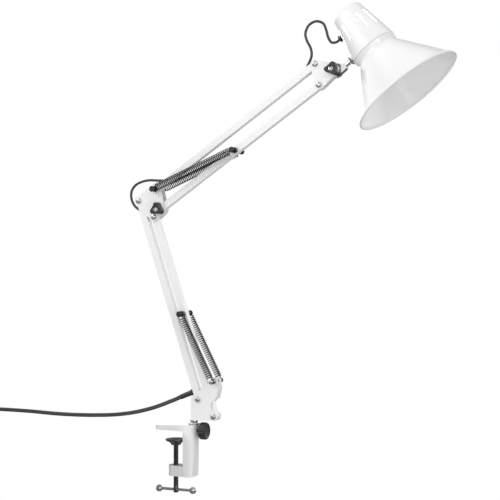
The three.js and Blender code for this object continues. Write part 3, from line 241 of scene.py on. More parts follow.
def soften(piece: bpy.types.Object, width: float, segments: int = 2, angle: float = 38) -> bpy.types.Object:
    """Rounds every edge that is sharper than an angle, and shades the rest smooth.

    Args:
        piece: The piece to finish.
        width: The rounding's width.
        segments: Faces across each rounding.
        angle: The least angle between two faces that counts as an edge, in degrees.

    Returns:
        The same piece.
    """
    tidy(piece)
    apply_modifier(
        piece, "BEVEL", width=width, segments=segments, limit_method="ANGLE",
        angle_limit=math.radians(angle), use_clamp_overlap=True
    )
    return shade(piece)


def healed(piece: bpy.types.Object) -> bpy.types.Object:
    """Merges what a rounding left on top of itself and closes the slits beside it."""
    with editing(piece):
        bpy.ops.mesh.select_all(action="SELECT")
        bpy.ops.mesh.remove_doubles(threshold=0.000004)
        bpy.ops.mesh.dissolve_degenerate(threshold=0.000001)
        bpy.ops.mesh.select_all(action="SELECT")
        bpy.ops.mesh.fill_holes(sides=0)
        bpy.ops.mesh.normals_make_consistent(inside=False)
    return shade(piece)


def shade(piece: bpy.types.Object, angle: float = 40) -> bpy.types.Object:
    """Shades a piece smooth, but for the edges sharper than an angle."""
    select_only(piece)
    bpy.ops.object.shade_smooth_by_angle(angle=math.radians(angle))
    return apply_modifier(piece, "WEIGHTED_NORMAL", mode="FACE_AREA", weight=100, keep_sharp=True)


def named(piece: bpy.types.Object, name: str) -> bpy.types.Object:
    """Names a piece and its mesh."""
    piece.name = name
    piece.data.name = name
    return piece


def block(name: str, low: Sequence[float], high: Sequence[float]) -> bpy.types.Object:
    """Makes a box between two corners.

    Args:
        name: The piece's name.
        low: Its lowest corner.
        high: Its highest corner.

    Returns:
        The box, settled.
    """
    bpy.ops.object.select_all(action="DESELECT")
    centre = [(a + b) / 2 for a, b in zip(low, high)]
    scale = [b - a for a, b in zip(low, high)]
    bpy.ops.mesh.primitive_cube_add(size=1, location=centre, scale=scale)
    return settle(named(bpy.context.object, name))


def bar_round(name: str, radius: float, start: Vector, end: Vector, sides: int = 32) -> bpy.types.Object:
    """Makes a plain cylinder between two points."""
    return turned(name, [(radius, 0.0), (radius, (end - start).length)], start, end - start, sides)


def turned(
    name: str, profile: Sequence[tuple[float, float]], foot: Vector = Vector(), axis: Vector = UP,
    sides: int = 40, ends: Ends = Ends.CAPPED
) -> bpy.types.Object:
    """Turns a piece as on a lathe: a ring is drawn out and widened from one profile point to the next.

    Args:
        name: The piece's name.
        profile: The radius and height of each ring, from the foot up.
        foot: Where height 0 is.
        axis: Where the heights point.
        sides: Faces round the piece.
        ends: How its ends are closed.

    Returns:
        The piece, settled and shaded.
    """
    return lofted(name, [(r, r, h) for r, h in profile], foot, axis, sides, ends)


def lofted(
    name: str, rings: Sequence[tuple[float, float, float]], foot: Vector = Vector(), axis: Vector = UP,
    sides: int = 40, ends: Ends = Ends.CAPPED
) -> bpy.types.Object:
    """Draws an oval ring out from one section to the next.

    Args:
        name: The piece's name.
        rings: Each section's two half widths and its height.
        foot: Where height 0 is.
        axis: Where the heights point.
        sides: Faces round the piece.
        ends: How its ends are closed.

    Returns:
        The piece, settled and shaded.
    """
    bpy.ops.object.select_all(action="DESELECT")
    bpy.ops.mesh.primitive_circle_add(vertices=sides, radius=1, fill_type="NOTHING")
    piece = settle(named(bpy.context.object, name))
    with editing(piece):
        bpy.ops.mesh.select_all(action="SELECT")
        width, depth, height = 1.0, 1.0, 0.0
        for i, (x, y, h) in enumerate(rings):
            if i:
                bpy.ops.mesh.extrude_region_move()
            bpy.ops.transform.resize(value=(x / width, y / depth, 1), center_override=(0, 0, 0))
            bpy.ops.transform.translate(value=(0, 0, h - height))
            width, depth, height = x, y, h
        bpy.ops.mesh.select_all(action="DESELECT")
        bpy.ops.mesh.select_non_manifold(extend=False, use_boundary=True, use_wire=True)
        if ends is Ends.LOOPED:
            bpy.ops.mesh.bridge_edge_loops()
        else:
            bpy.ops.mesh.edge_face_add()
        bpy.ops.mesh.select_all(action="SELECT")
        bpy.ops.mesh.normals_make_consistent(inside=False)
    return shade(place(piece, foot, axis))


def hulled(name: str, circles: Sequence[tuple[Vector, float]], y0: float, y1: float) -> bpy.types.Object:
    """Makes a flat plate whose outline is drawn tight round circles in the arms' plane.

    Args:
        name: The piece's name.
        circles: Each circle's centre and radius.
        y0: The plate's near face.
        y1: Its far face.

    Returns:
        The plate, settled.
    """
    bpy.ops.object.select_all(action="DESELECT")
    made = []
    for centre, radius in circles:
        bpy.ops.mesh.primitive_cylinder_add(
            vertices=56, radius=radius, depth=y1 - y0, location=(centre.x, (y0 + y1) / 2, centre.z),
            rotation=(math.pi / 2, 0, 0)
        )
        made.append(bpy.context.object)
    for piece in made:
        piece.select_set(True)
    if len(made) > 1:
        bpy.ops.object.join()
    plate = settle(named(bpy.context.object, name))
    with editing(plate):
        bpy.ops.mesh.select_all(action="SELECT")
        bpy.ops.mesh.convex_hull()
    return tidy(plate)


def copied(piece: bpy.types.Object, name: str, offset: Vector) -> bpy.types.Object:
    """Copies a piece, with a mesh of its own, to another place."""
    select_only(piece)
    bpy.ops.object.duplicate(linked=False)
    twin = named(bpy.context.object, name)
    twin.location = offset
    return settle(twin)


def joined(name: str, *pieces: bpy.types.Object) -> bpy.types.Object:
    """Makes several loose shapes one piece, without cutting them."""
    bpy.ops.object.select_all(action="DESELECT")
    for piece in pieces:
        piece.select_set(True)
    bpy.context.view_layer.objects.active = pieces[0]
    bpy.ops.object.join()
    return named(bpy.context.object, name)


# ------------------------------------------------------------------ routes


def smooth_route(points: Sequence[Vector], step: float) -> list[Vector]:
    """Runs a smooth line through points, with evenly spaced points on it.

    Args:
        points: The points that the line goes through.
        step: The distance between two points of the line.

    Returns:
        The line's points.
    """
    padded = [2 * points[0] - points[1], *points, 2 * points[-1] - points[-2]]
    dense: list[Vector] = []
    for p0, p1, p2, p3 in zip(padded, padded[1:], padded[2:], padded[3:]):
        knots = [0.0]
        for a, b in ((p0, p1), (p1, p2), (p2, p3)):
            knots.append(knots[-1] + max(math.sqrt((b - a).length), 1e-6))
        for i in range(24):
            t = knots[1] + (knots[2] - knots[1]) * i / 24
            a1 = p0.lerp(p1, (t - knots[0]) / (knots[1] - knots[0]))
            a2 = p1.lerp(p2, (t - knots[1]) / (knots[2] - knots[1]))
            a3 = p2.lerp(p3, (t - knots[2]) / (knots[3] - knots[2]))
            b1 = a1.lerp(a2, (t - knots[0]) / (knots[2] - knots[0]))
            b2 = a2.lerp(a3, (t - knots[1]) / (knots[3] - knots[1]))
            dense.append(b1.lerp(b2, (t - knots[1]) / (knots[2] - knots[1])))
    dense.append(points[-1].copy())
    return evenly(dense, step)


def evenly(line: Sequence[Vector], step: float) -> list[Vector]:
    """Spaces points evenly on a line of straight stretches, close to a step apart."""
    total = line_length(line)
    count = max(2, round(total / step))
    spaced, walked, i = [line[0].copy()], 0.0, 0
    for k in range(1, count):
        target = total * k / count
        while walked + (line[i + 1] - line[i]).length < target:
            walked += (line[i + 1] - line[i]).length
            i += 1
        share = (target - walked) / (line[i + 1] - line[i]).length
        spaced.append(line[i].lerp(line[i + 1], share))
    spaced.append(line[-1].copy())
    return spaced


def line_length(line: Sequence[Vector]) -> float:
    """Adds up a line's straight stretches."""
    return sum((b - a).length for a, b in zip(line, line[1:]))


def section_frames(line: Sequence[Vector], side: Vector) -> list[tuple[Vector, Vector, Vector]]:
    """Carries a cross-section along a line without twisting it.

    Args:
        line: The line's points.
        side: The direction of the section's width at the start.

    Returns:
        Each point with the section's width and height directions there.
    """
    frames = []
    last = side.normalized()
    for i, point in enumerate(line):
        ahead = (line[min(i + 1, len(line) - 1)] - line[max(i - 1, 0)]).normalized()
        across = (last - ahead * last.dot(ahead)).normalized()
        frames.append((point, across, ahead.cross(across)))
        last = across
    return frames


def swept(
    name: str, frames: Sequence[tuple[Vector, Vector, Vector]], outline: Sequence[tuple[float, float]]
) -> bpy.types.Object:
    """Sweeps a closed outline along a line, with a cap at each end and a UV map that follows it.

    Args:
        name: The piece's name.
        frames: The line's points, each with the outline's width and height directions.
        outline: The outline's points across its width and height.

    Returns:
        The swept piece. U runs round it and V along it, in metres.
    """
    mesh = bpy.data.meshes.new(name)
    count = len(outline)
    points = [p + w * a + h * b for p, w, h in frames for a, b in outline]
    faces = [
        (i * count + j, i * count + (j + 1) % count, (i + 1) * count + (j + 1) % count, (i + 1) * count + j)
        for i in range(len(frames) - 1) for j in range(count)
    ]
    faces.append(tuple(reversed(range(count))))
    faces.append(tuple(range((len(frames) - 1) * count, len(frames) * count)))
    mesh.from_pydata(points, [], faces)
    along = [0.0]
    for (a, _, _), (b, _, _) in zip(frames, frames[1:]):
        along.append(along[-1] + (b - a).length)
    uv = mesh.uv_layers.new(name="sheath")
    for face in mesh.polygons:
        for k, loop in enumerate(face.loop_indices):
            ring, corner = divmod(face.vertices[k], count)
            turn = 1.0 if len(face.vertices) == 4 and corner == 0 and k in (1, 2) else corner / count
            uv.data[loop].uv = (turn, along[ring])
    piece = bpy.data.objects.new(name, mesh)
    bpy.context.collection.objects.link(piece)
    with editing(piece):
        bpy.ops.mesh.select_all(action="SELECT")
        bpy.ops.mesh.normals_make_consistent(inside=False)
    return shade(piece, 60)


def circle_outline(radius: float, sides: int) -> list[tuple[float, float]]:
    """Gives a round outline."""
    return [
        (radius * math.cos(math.tau * i / sides), radius * math.sin(math.tau * i / sides))
        for i in range(sides)
    ]


# ------------------------------------------------------------------ finishes


def add_node(tree: bpy.types.NodeTree, kind: str, **settings: object) -> bpy.types.Node:
    """Adds a node to a tree and sets its properties."""
    node = tree.nodes.new(kind)
    for name, value in settings.items():
        setattr(node, name, value)
    return node


def new_group(
    name: str, inputs: Sequence[tuple[str, str, float]], outputs: Sequence[tuple[str, str]]
) -> tuple:
    """Starts a shader node group.

    Args:
        name: The group's name.
        inputs: Each input's name, socket kind and default; the default of a vector or colour is not used.
        outputs: Each output's name and socket kind.

    Returns:
        The group's tree, its input node and its output node.
    """
    tree = bpy.data.node_groups.new(name, "ShaderNodeTree")
    for label, kind, default in inputs:
        socket = tree.interface.new_socket(name=label, in_out="INPUT", socket_type=kind)
        if kind == "NodeSocketFloat":
            socket.default_value = default
    for label, kind in outputs:
        tree.interface.new_socket(name=label, in_out="OUTPUT", socket_type=kind)
    return tree, tree.nodes.new("NodeGroupInput"), tree.nodes.new("NodeGroupOutput")


def fine_grain_group() -> bpy.types.NodeTree:
    """Builds the small bumps of a moulded, cast or sprayed surface.

    Returns:
        A group that puts out a height and a slow mottle.
    """
    tree, given, put = new_group(
        "fine_grain",
        [
            ("Vector", "NodeSocketVector", 0), ("Scale", "NodeSocketFloat", 900),
            ("Mottle Scale", "NodeSocketFloat", 40)
        ],
        [("Height", "NodeSocketFloat"), ("Mottle", "NodeSocketFloat")]
    )
    small = add_node(tree, "ShaderNodeTexNoise", noise_dimensions="3D")
    small.inputs["Detail"].default_value = 3
    small.inputs["Roughness"].default_value = 0.55
    slow = add_node(tree, "ShaderNodeTexNoise", noise_dimensions="3D")
    slow.inputs["Detail"].default_value = 2
    for noise, scale in ((small, "Scale"), (slow, "Mottle Scale")):
        tree.links.new(given.outputs["Vector"], noise.inputs["Vector"])
        tree.links.new(given.outputs[scale], noise.inputs["Scale"])
    tree.links.new(small.outputs["Fac"], put.inputs["Height"])
    tree.links.new(slow.outputs["Fac"], put.inputs["Mottle"])
    return tree


def drawn_lines_group() -> bpy.types.NodeTree:
    """Builds the fine lines that drawing or turning leaves in plated metal.

    Returns:
        A group that puts out a height and a mask of the deeper lines.
    """
    tree, given, put = new_group(
        "drawn_lines",
        [
            ("Vector", "NodeSocketVector", 0), ("Across", "NodeSocketFloat", 2600),
            ("Along", "NodeSocketFloat", 60)
        ],
        [("Height", "NodeSocketFloat"), ("Lines", "NodeSocketFloat")]
    )
    stretch = add_node(tree, "ShaderNodeCombineXYZ")
    for axis, scale in (("X", "Along"), ("Y", "Across"), ("Z", "Across")):
        tree.links.new(given.outputs[scale], stretch.inputs[axis])
    scaled = add_node(tree, "ShaderNodeVectorMath", operation="MULTIPLY")
    tree.links.new(given.outputs["Vector"], scaled.inputs[0])
    tree.links.new(stretch.outputs["Vector"], scaled.inputs[1])
    noise = add_node(tree, "ShaderNodeTexNoise", noise_dimensions="3D")
    noise.inputs["Scale"].default_value = 1
    noise.inputs["Detail"].default_value = 2
    tree.links.new(scaled.outputs["Vector"], noise.inputs["Vector"])
    deep = add_node(tree, "ShaderNodeMapRange")
    deep.inputs["From Min"].default_value = 0.55
    deep.inputs["From Max"].default_value = 0.75
    tree.links.new(noise.outputs["Fac"], deep.inputs["Value"])
    tree.links.new(noise.outputs["Fac"], put.inputs["Height"])
    tree.links.new(deep.outputs["Result"], put.inputs["Lines"])
    return tree


def shaded_colour_group() -> bpy.types.NodeTree:
    """Builds a colour that drifts a little between two shades.

    Returns:
        A group that puts out a colour and a roughness.
    """
    tree, given, put = new_group(
        "shaded_colour",
        [
            ("Light", "NodeSocketColor", 0), ("Dark", "NodeSocketColor", 0),
            ("Mask", "NodeSocketFloat", 0.5), ("Roughness Low", "NodeSocketFloat", 0.3),
            ("Roughness High", "NodeSocketFloat", 0.4)
        ],
        [("Color", "NodeSocketColor"), ("Roughness", "NodeSocketFloat")]
    )
    mix = add_node(tree, "ShaderNodeMix", data_type="RGBA")
    tree.links.new(given.outputs["Mask"], mix.inputs["Factor"])
    tree.links.new(given.outputs["Dark"], mix.inputs[6])
    tree.links.new(given.outputs["Light"], mix.inputs[7])
    rough = add_node(tree, "ShaderNodeMapRange")
    rough.inputs["From Min"].default_value = 0.25
    rough.inputs["From Max"].default_value = 0.75
    tree.links.new(given.outputs["Mask"], rough.inputs["Value"])
    tree.links.new(given.outputs["Roughness Low"], rough.inputs["To Min"])
    tree.links.new(given.outputs["Roughness High"], rough.inputs["To Max"])
    tree.links.new(mix.outputs[2], put.inputs["Color"])
    tree.links.new(rough.outputs["Result"], put.inputs["Roughness"])
    return tree


class Groups:
    """The node groups that the finishes share, each built when it is first asked for."""

    _makers = {
        "fine_grain": fine_grain_group, "drawn_lines": drawn_lines_group,
        "shaded_colour": shaded_colour_group
    }

    @classmethod
    def get(cls, name: str) -> bpy.types.NodeTree:
        """Gives a group by its name."""
        return bpy.data.node_groups.get(name) or cls._makers[name]()


@dataclass(frozen=True)
class Finish:
    """A surface of one colour with a fine texture.

    Attributes:
        name: The material's name.
        light: Its lighter shade, red, green and blue.
        dark: Its darker shade.
        roughness: Its least and greatest roughness.
        metallic: 1 on bare or plated metal.
        coat: Weight of a clear coat.
        bump: How deep the texture is, in metres.
        scale: How fine the texture is.
        lines: True where the texture runs in lines.
    """

    name: str
    light: tuple[float, float, float]
    dark: tuple[float, float, float]
    roughness: tuple[float, float]
    metallic: float = 0.0
    coat: float = 0.0
    bump: float = 0.00002
    scale: float = 900.0
    lines: bool = False

    def material(self) -> bpy.types.Material:
        """Gives the finish's material, which is made the first time.

        Returns:
            The material.
        """
        found = bpy.data.materials.get(self.name)
        if found:
            return found
        material = bpy.data.materials.new(self.name)
        material.use_nodes = True
        tree = material.node_tree
        shader = tree.nodes["Principled BSDF"]
        shader.inputs["Metallic"].default_value = self.metallic
        shader.inputs["Coat Weight"].default_value = self.coat
        shader.inputs["Coat Roughness"].default_value = 0.03
        place_of = add_node(tree, "ShaderNodeTexCoord")
        height, mask = self._texture(tree, place_of.outputs["Object"])
        colour = add_node(tree, "ShaderNodeGroup", node_tree=Groups.get("shaded_colour"))
        colour.inputs["Light"].default_value = (*self.light, 1)
        colour.inputs["Dark"].default_value = (*self.dark, 1)
        colour.inputs["Roughness Low"].default_value = self.roughness[0]
        colour.inputs["Roughness High"].default_value = self.roughness[1]
        tree.links.new(mask, colour.inputs["Mask"])
        tree.links.new(colour.outputs["Color"], shader.inputs["Base Color"])
        tree.links.new(colour.outputs["Roughness"], shader.inputs["Roughness"])
        bump = add_node(tree, "ShaderNodeBump")
        bump.inputs["Strength"].default_value = 1.0
        bump.inputs["Distance"].default_value = self.bump
        tree.links.new(height, bump.inputs["Height"])
        tree.links.new(bump.outputs["Normal"], shader.inputs["Normal"])
        return material

    def _texture(self, tree: bpy.types.NodeTree, vector: bpy.types.NodeSocket) -> tuple:
        """Adds the finish's texture.

        Args:
            tree: The material's tree.
            vector: The coordinates that it reads.

        Returns:
            The sockets of its height and its mask.
        """
        if self.lines:
            lines = add_node(tree, "ShaderNodeGroup", node_tree=Groups.get("drawn_lines"))
            lines.inputs["Across"].default_value = self.scale
            lines.inputs["Along"].default_value = self.scale / 30
            tree.links.new(vector, lines.inputs["Vector"])
            return lines.outputs["Height"], lines.outputs["Lines"]
        grain = add_node(tree, "ShaderNodeGroup", node_tree=Groups.get("fine_grain"))
        grain.inputs["Scale"].default_value = self.scale
        grain.inputs["Mottle Scale"].default_value = self.scale / 20
        tree.links.new(vector, grain.inputs["Vector"])
        return grain.outputs["Height"], grain.outputs["Mottle"]

    def dress(self, *pieces: bpy.types.Object) -> None:
        """Gives pieces this finish and nothing else."""
        for piece in pieces:
            piece.data.materials.clear()
            piece.data.materials.append(self.material())


@dataclass(frozen=True)
class CordSheath(Finish):
    """A cord's sheath, with faint rings across it where it was drawn through its die."""

    def _texture(self, tree: bpy.types.NodeTree, vector: bpy.types.NodeSocket) -> tuple:
        """Adds rings that follow the cord, on top of the grain."""
        height, mask = super()._texture(tree, vector)
        uv = add_node(tree, "ShaderNodeUVMap", uv_map="sheath")
        rings = add_node(tree, "ShaderNodeTexWave", wave_type="BANDS", bands_direction="Y")
        rings.inputs["Scale"].default_value = 180
        rings.inputs["Distortion"].default_value = 1.5
        tree.links.new(uv.outputs["UV"], rings.inputs["Vector"])
        both = add_node(tree, "ShaderNodeMath", operation="MULTIPLY_ADD")
        both.inputs[1].default_value = 0.3
        tree.links.new(rings.outputs["Fac"], both.inputs[0])
        tree.links.new(height, both.inputs[2])
        return both.outputs["Value"], mask


WHITE_PAINT = Finish(
    "white_paint", (0.9, 0.9, 0.895), (0.865, 0.867, 0.865), (0.3, 0.4), coat=1.0, bump=0.000006, scale=700
)
PLATED = Finish(
    "bright_plate", (0.74, 0.75, 0.77), (0.55, 0.56, 0.58), (0.1, 0.2), metallic=1, bump=0.000004,
    scale=2600, lines=True
)
SCREW_STEEL = Finish(
    "oiled_steel", (0.3, 0.3, 0.31), (0.14, 0.14, 0.15), (0.24, 0.36), metallic=1, bump=0.000006,
    scale=1500, lines=True
)
BLACK_PLASTIC = Finish(
    "black_plastic", (0.022, 0.022, 0.024), (0.014, 0.014, 0.015), (0.34, 0.46), bump=0.00002
)
GLOSS_BLACK = Finish("gloss_black", (0.02, 0.02, 0.021), (0.013, 0.013, 0.014), (0.16, 0.24), bump=0.000008)
BLACK_STEEL = Finish(
    "black_oxide", (0.016, 0.016, 0.017), (0.008, 0.008, 0.009), (0.5, 0.62), bump=0.000004, scale=1800
)
SHEATH = CordSheath("cord_sheath", (0.05, 0.051, 0.054), (0.032, 0.033, 0.035), (0.42, 0.55), bump=0.00003)
BRASS = Finish(
    "brass_shell", (0.73, 0.57, 0.27), (0.56, 0.42, 0.18), (0.2, 0.34), metallic=1, bump=0.000006,
    scale=1500, lines=True
)
GLAZE = Finish("holder_glaze", (0.82, 0.81, 0.78), (0.76, 0.75, 0.72), (0.18, 0.3), coat=0.4, bump=0.00001)


# ------------------------------------------------------------------ sub-assemblies


@dataclass
class SubAssembly:
    """One group of the lamp's pieces: it makes them, dresses them and hands them to their bodies."""

    pieces: list[bpy.types.Object] = field(default_factory=list, init=False)

    def fit(self, piece: bpy.types.Object, body: str, finish: Finish, *nodes: str) -> bpy.types.Object:
        """Finishes a piece: its surface, its body and the CAD nodes that it stands for.

        Args:
            piece: The settled piece.
            body: The body that it rides on.
            finish: Its finish.
            *nodes: The CAD nodes that it replaces.

        Returns:
            The same piece.
        """
        finish.dress(piece)
        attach(piece, body)
        self.record(piece, *nodes)
        return piece

    def record(self, piece: bpy.types.Object, *nodes: str) -> None:
        """Notes which CAD nodes a piece replaces, and reports it."""
        if nodes:
            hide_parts(*nodes)
        self.pieces.append(piece)
        log.info("%s: %d faces", piece.name, len(piece.data.polygons))


# ------------------------------------------------------------------ shared hardware

PLATE_IN = 5.5 * MM
PLATE_OUT = 6.9 * MM
SPRING_Y = 15 * MM
LOWER_PIVOT = pivot("lower_arm_lean")
LOWER_FRONT = pivot("lower_front_lean")
ELBOW_REAR = pivot("elbow_level")
ELBOW_FRONT = ELBOW_REAR + LOWER_FRONT - LOWER_PIVOT
UPPER_MAIN = pivot("upper_arm_dip")
UPPER_CABLE = pivot("upper_cable_dip")
HEAD_CABLE = pivot("head_level")
HEAD_MAIN = UPPER_MAIN + HEAD_CABLE - UPPER_CABLE
TILT = pivot("shade_tilt")
LOWER_DIR = (ELBOW_REAR - LOWER_PIVOT).normalized()
UPPER_DIR = (HEAD_CABLE - UPPER_CABLE).normalized()
LOWER_LEFT = Vector((-LOWER_DIR.z, 0.0, LOWER_DIR.x))
UPPER_TOP = Vector((-UPPER_DIR.z, 0.0, UPPER_DIR.x))
EAR = flat(middle("ear_stud_near"))
LOWER_PIN = flat(middle("lower_spring_pin"))
UPPER_PIN = flat(middle("upper_spring_pin"))


def climb(direction: Vector) -> float:
    """Gives a direction's angle above +X in the middle plane, in degrees."""
    return math.degrees(math.atan2(direction.z, direction.x))


@dataclass(frozen=True)
class PivotScrew:
    """A pan-head screw with a cross recess, through two plates to a hexagon lock nut.

    Attributes:
        head: The head's radius.
        height: The head's height.
        shank: The shank's radius.
        nut: The nut's radius across its corners.
        nut_height: The nut's height.
    """

    head: float = 4.1 * MM
    height: float = 2.6 * MM
    shank: float = 2 * MM
    nut: float = 4.3 * MM
    nut_height: float = 3.4 * MM

    def model(self, name: str = "pivot_screw") -> bpy.types.Object:
        """Makes the screw and nut at the origin, its head towards -Y."""
        face = PLATE_OUT + 0.3 * MM
        screw = self.recessed_head(face)
        shank = turned(
            "shank",
            [
                (self.shank, 0), (self.shank, 2 * face + self.nut_height + 0.8 * MM),
                (self.shank * 0.7, 2 * face + 4.6 * MM)
            ],
            Vector((0, -face, 0)), ACROSS, 24
        )
        nut = hexagon_nut(self.nut, self.nut_height, self.shank * 0.9, Vector((0, face, 0)), ACROSS)
        return joined(name, screw, shank, nut)

    def recessed_head(self, face: float) -> bpy.types.Object:
        """Makes the domed head with its cross recess.

        Args:
            face: Distance from the middle plane to the head's underside.

        Returns:
            The head.
        """
        r, h = self.head, self.height
        profile = [(r * 0.94, 0), (r, h * 0.12), (r, h * 0.38), (r * 0.93, h * 0.66), (r * 0.74, h * 0.87)]
        profile += [(r * 0.45, h * 0.97), (r * 0.1, h)]
        head = turned("head", profile, Vector((0, -face, 0)), -ACROSS, 40)
        half, reach = 0.5 * MM, r * 0.56
        for width, depth in ((reach, half), (half, reach)):
            slot = block("slot", (-width, -face - h - MM, -depth), (width, -face - h + 1.25 * MM, depth))
            slot.rotation_euler = (0, math.radians(28), 0)
            use_tool(head, settle(slot))
        return soften(head, 0.12 * MM, 1, 50)

    def put(self, model: bpy.types.Object, name: str, centre: Vector) -> bpy.types.Object:
        """Copies the model to a pivot."""
        return copied(model, name, centre)


def hexagon_nut(radius: float, height: float, bore: float, foot: Vector, axis: Vector) -> bpy.types.Object:
    """Makes a hexagon nut with chamfered corners.

    Args:
        radius: Its radius across the corners.
        height: Its height.
        bore: The radius of its hole.
        foot: The middle of its first face.
        axis: Its axis.

    Returns:
        The nut, settled.
    """
    bpy.ops.object.select_all(action="DESELECT")
    bpy.ops.mesh.primitive_cylinder_add(vertices=6, radius=radius, depth=height, location=(0, 0, height / 2))
    nut = settle(named(bpy.context.object, "nut"))
    rounding = turned(
        "rounding",
        [
            (radius * 0.86, 0), (radius * 1.01, height * 0.16), (radius * 1.01, height * 0.84),
            (radius * 0.86, height)
        ],
        sides=48
    )
    apply_modifier(nut, "BOOLEAN", operation="INTERSECT", solver="EXACT", object=rounding)
    bpy.data.objects.remove(rounding)
    use_tool(nut, bar_round("bore", bore, Vector((0, 0, -MM)), Vector((0, 0, height + MM)), 28))
    return place(soften(nut, 0.1 * MM, 1, 30), foot, axis)


@dataclass(frozen=True)
class SpringPin:
    """A black pin across a bar, with shoulders, a groove for each spring's hook and end caps."""

    pin: float = 2.2 * MM
    bush: float = 4.2 * MM
    groove: float = 12 * MM
    cap: float = 18 * MM
    end: float = 20.2 * MM

    def make(self, name: str, centre: Vector, shoulder: float) -> bpy.types.Object:
        """Makes the pin.

        Args:
            name: Its name.
            centre: Where it crosses the middle plane.
            shoulder: Distance from the middle plane to its shoulders.

        Returns:
            The pin.
        """
        lip = 0.5 * MM
        half = [
            (self.pin, shoulder), (self.bush - lip, shoulder), (self.bush, shoulder + lip),
            (self.bush, self.groove - lip), (self.bush - lip, self.groove), (self.pin, self.groove),
            (self.pin, self.cap), (self.bush - lip, self.cap), (self.bush, self.cap + lip),
            (self.bush, self.end - 0.8 * MM), (self.bush - 0.9 * MM, self.end),
            (self.bush * 0.42, self.end), (self.bush * 0.36, self.end - 0.3 * MM)
        ]
        profile = [(r, -y) for r, y in reversed(half)] + half
        return turned(name, profile, centre, ACROSS, 32)


@dataclass(frozen=True)
class LobedKnob:
    """A hand knob with three lobes and slightly hollow flanks; the bolt and the ring in it come from
    tension_bolt.
    """

    lobe: float = 4.1 * MM
    reach: float = 5.6 * MM
    thick: float = 10 * MM
    neck: float = 1.3 * MM

    def make(self, name: str, centre: Vector, turn: float) -> bpy.types.Object:
        """Makes the knob.

        Args:
            name: Its name.
            centre: The pivot that it clamps.
            turn: Where its first lobe points, in degrees.

        Returns:
            The knob.
        """
        face = -PLATE_OUT - 0.3 * MM
        front = face - self.neck - self.thick
        lobes = [(centre + heading(turn + step) * self.reach, self.lobe) for step in (0, 120, 240)]
        knob = hulled(name, lobes, front, face - self.neck)
        for step in (60, 180, 300):
            hollow = centre + heading(turn + step) * 26.4 * MM
            use_tool(knob, bar_round("hollow", 20.2 * MM, flat(hollow, front - MM), flat(hollow, face), 96))
        dish = turned(
            "dish", [(self.reach * 0.78, 0), (self.reach * 0.66, 0.7 * MM)],
            flat(centre, front - 0.001 * MM), ACROSS, 40
        )
        use_tool(knob, dish)
        soften(knob, 1.1 * MM, 4, 40)
        neck = turned(
            "neck", [(self.reach * 0.8, 0), (self.reach, self.neck * 0.4), (self.reach, self.neck + MM)],
            flat(centre, face), -ACROSS, 32
        )
        return joined(name, knob, neck)


def tension_bolt(name: str, centre: Vector, far: float) -> bpy.types.Object:
    """Makes the bolt under a lobed knob, its hexagon head at the far side and its end in a ring in the knob.

    Args:
        name: Its name.
        centre: The pivot that it is on.
        far: Distance from the middle plane to its head.

    Returns:
        The bolt.
    """
    front = -(PLATE_OUT + 11.6 * MM)
    shank = turned(
        "shank", [(1.3 * MM, 0), (2 * MM, 0.7 * MM), (2 * MM, far - front + MM)],
        flat(centre, front + 0.3 * MM), ACROSS, 28
    )
    ring = turned(
        "ring",
        [
            (2.1 * MM, 0), (2.3 * MM, -0.5 * MM), (3.1 * MM, -0.6 * MM), (3.5 * MM, 0),
            (3.5 * MM, 1.5 * MM), (2.1 * MM, 1.5 * MM)
        ],
        flat(centre, front + 0.8 * MM), ACROSS, 36, Ends.LOOPED
    )
    head = hexagon_nut(4.3 * MM, 3.4 * MM, 1 * MM, flat(centre, far), ACROSS)
    return joined(name, shank, ring, head)


def folded_plates(
    name: str, outline: Sequence[tuple[Vector, float]], holes: Sequence[tuple[Vector, float]],
    scoops: Sequence[tuple[Vector, float]] = ()
) -> bpy.types.Object:
    """Makes the two side plates of a folded bracket.

    Args:
        name: The piece's name.
        outline: The circles that the plates' edge runs round.
        holes: Each hole's centre and radius.
        scoops: Each round hollow in the plates' edge.

    Returns:
        The two plates as one piece, before their edges are softened.
    """
    near = hulled(name, outline, -PLATE_OUT, -PLATE_IN)
    for centre, radius in (*holes, *scoops):
        tool = bar_round("hole", radius, flat(centre, -PLATE_OUT - MM), flat(centre, -PLATE_IN + MM), 64)
        use_tool(near, tool)
    far = copied(near, "far_plate", ACROSS * (PLATE_IN + PLATE_OUT))
    return joined(name, near, far)


def web_strip(
    name: str, first: tuple[Vector, float], last: tuple[Vector, float], shares: tuple[float, float]
) -> bpy.types.Object:
    """Makes the strip that joins two side plates, along the outside tangent of two of their circles.

    Args:
        name: The piece's name.
        first: The circle that the tangent starts on, centre and radius.
        last: The circle that it ends on, anticlockwise.
        shares: Where the strip starts and ends on the tangent.

    Returns:
        The strip.
    """
    (a, ra), (b, rb) = first, last
    along = b - a
    lean = math.acos((ra - rb) / along.length)
    normal = heading(climb(along) - math.degrees(lean))
    start, end = a + normal * ra, b + normal * rb
    low, high = start.lerp(end, shares[0]), start.lerp(end, shares[1])
    strip = block(name, (0, -PLATE_OUT, 0), ((high - low).length, PLATE_OUT, 1.4 * MM))
    return swing(strip, low, climb(high - low))


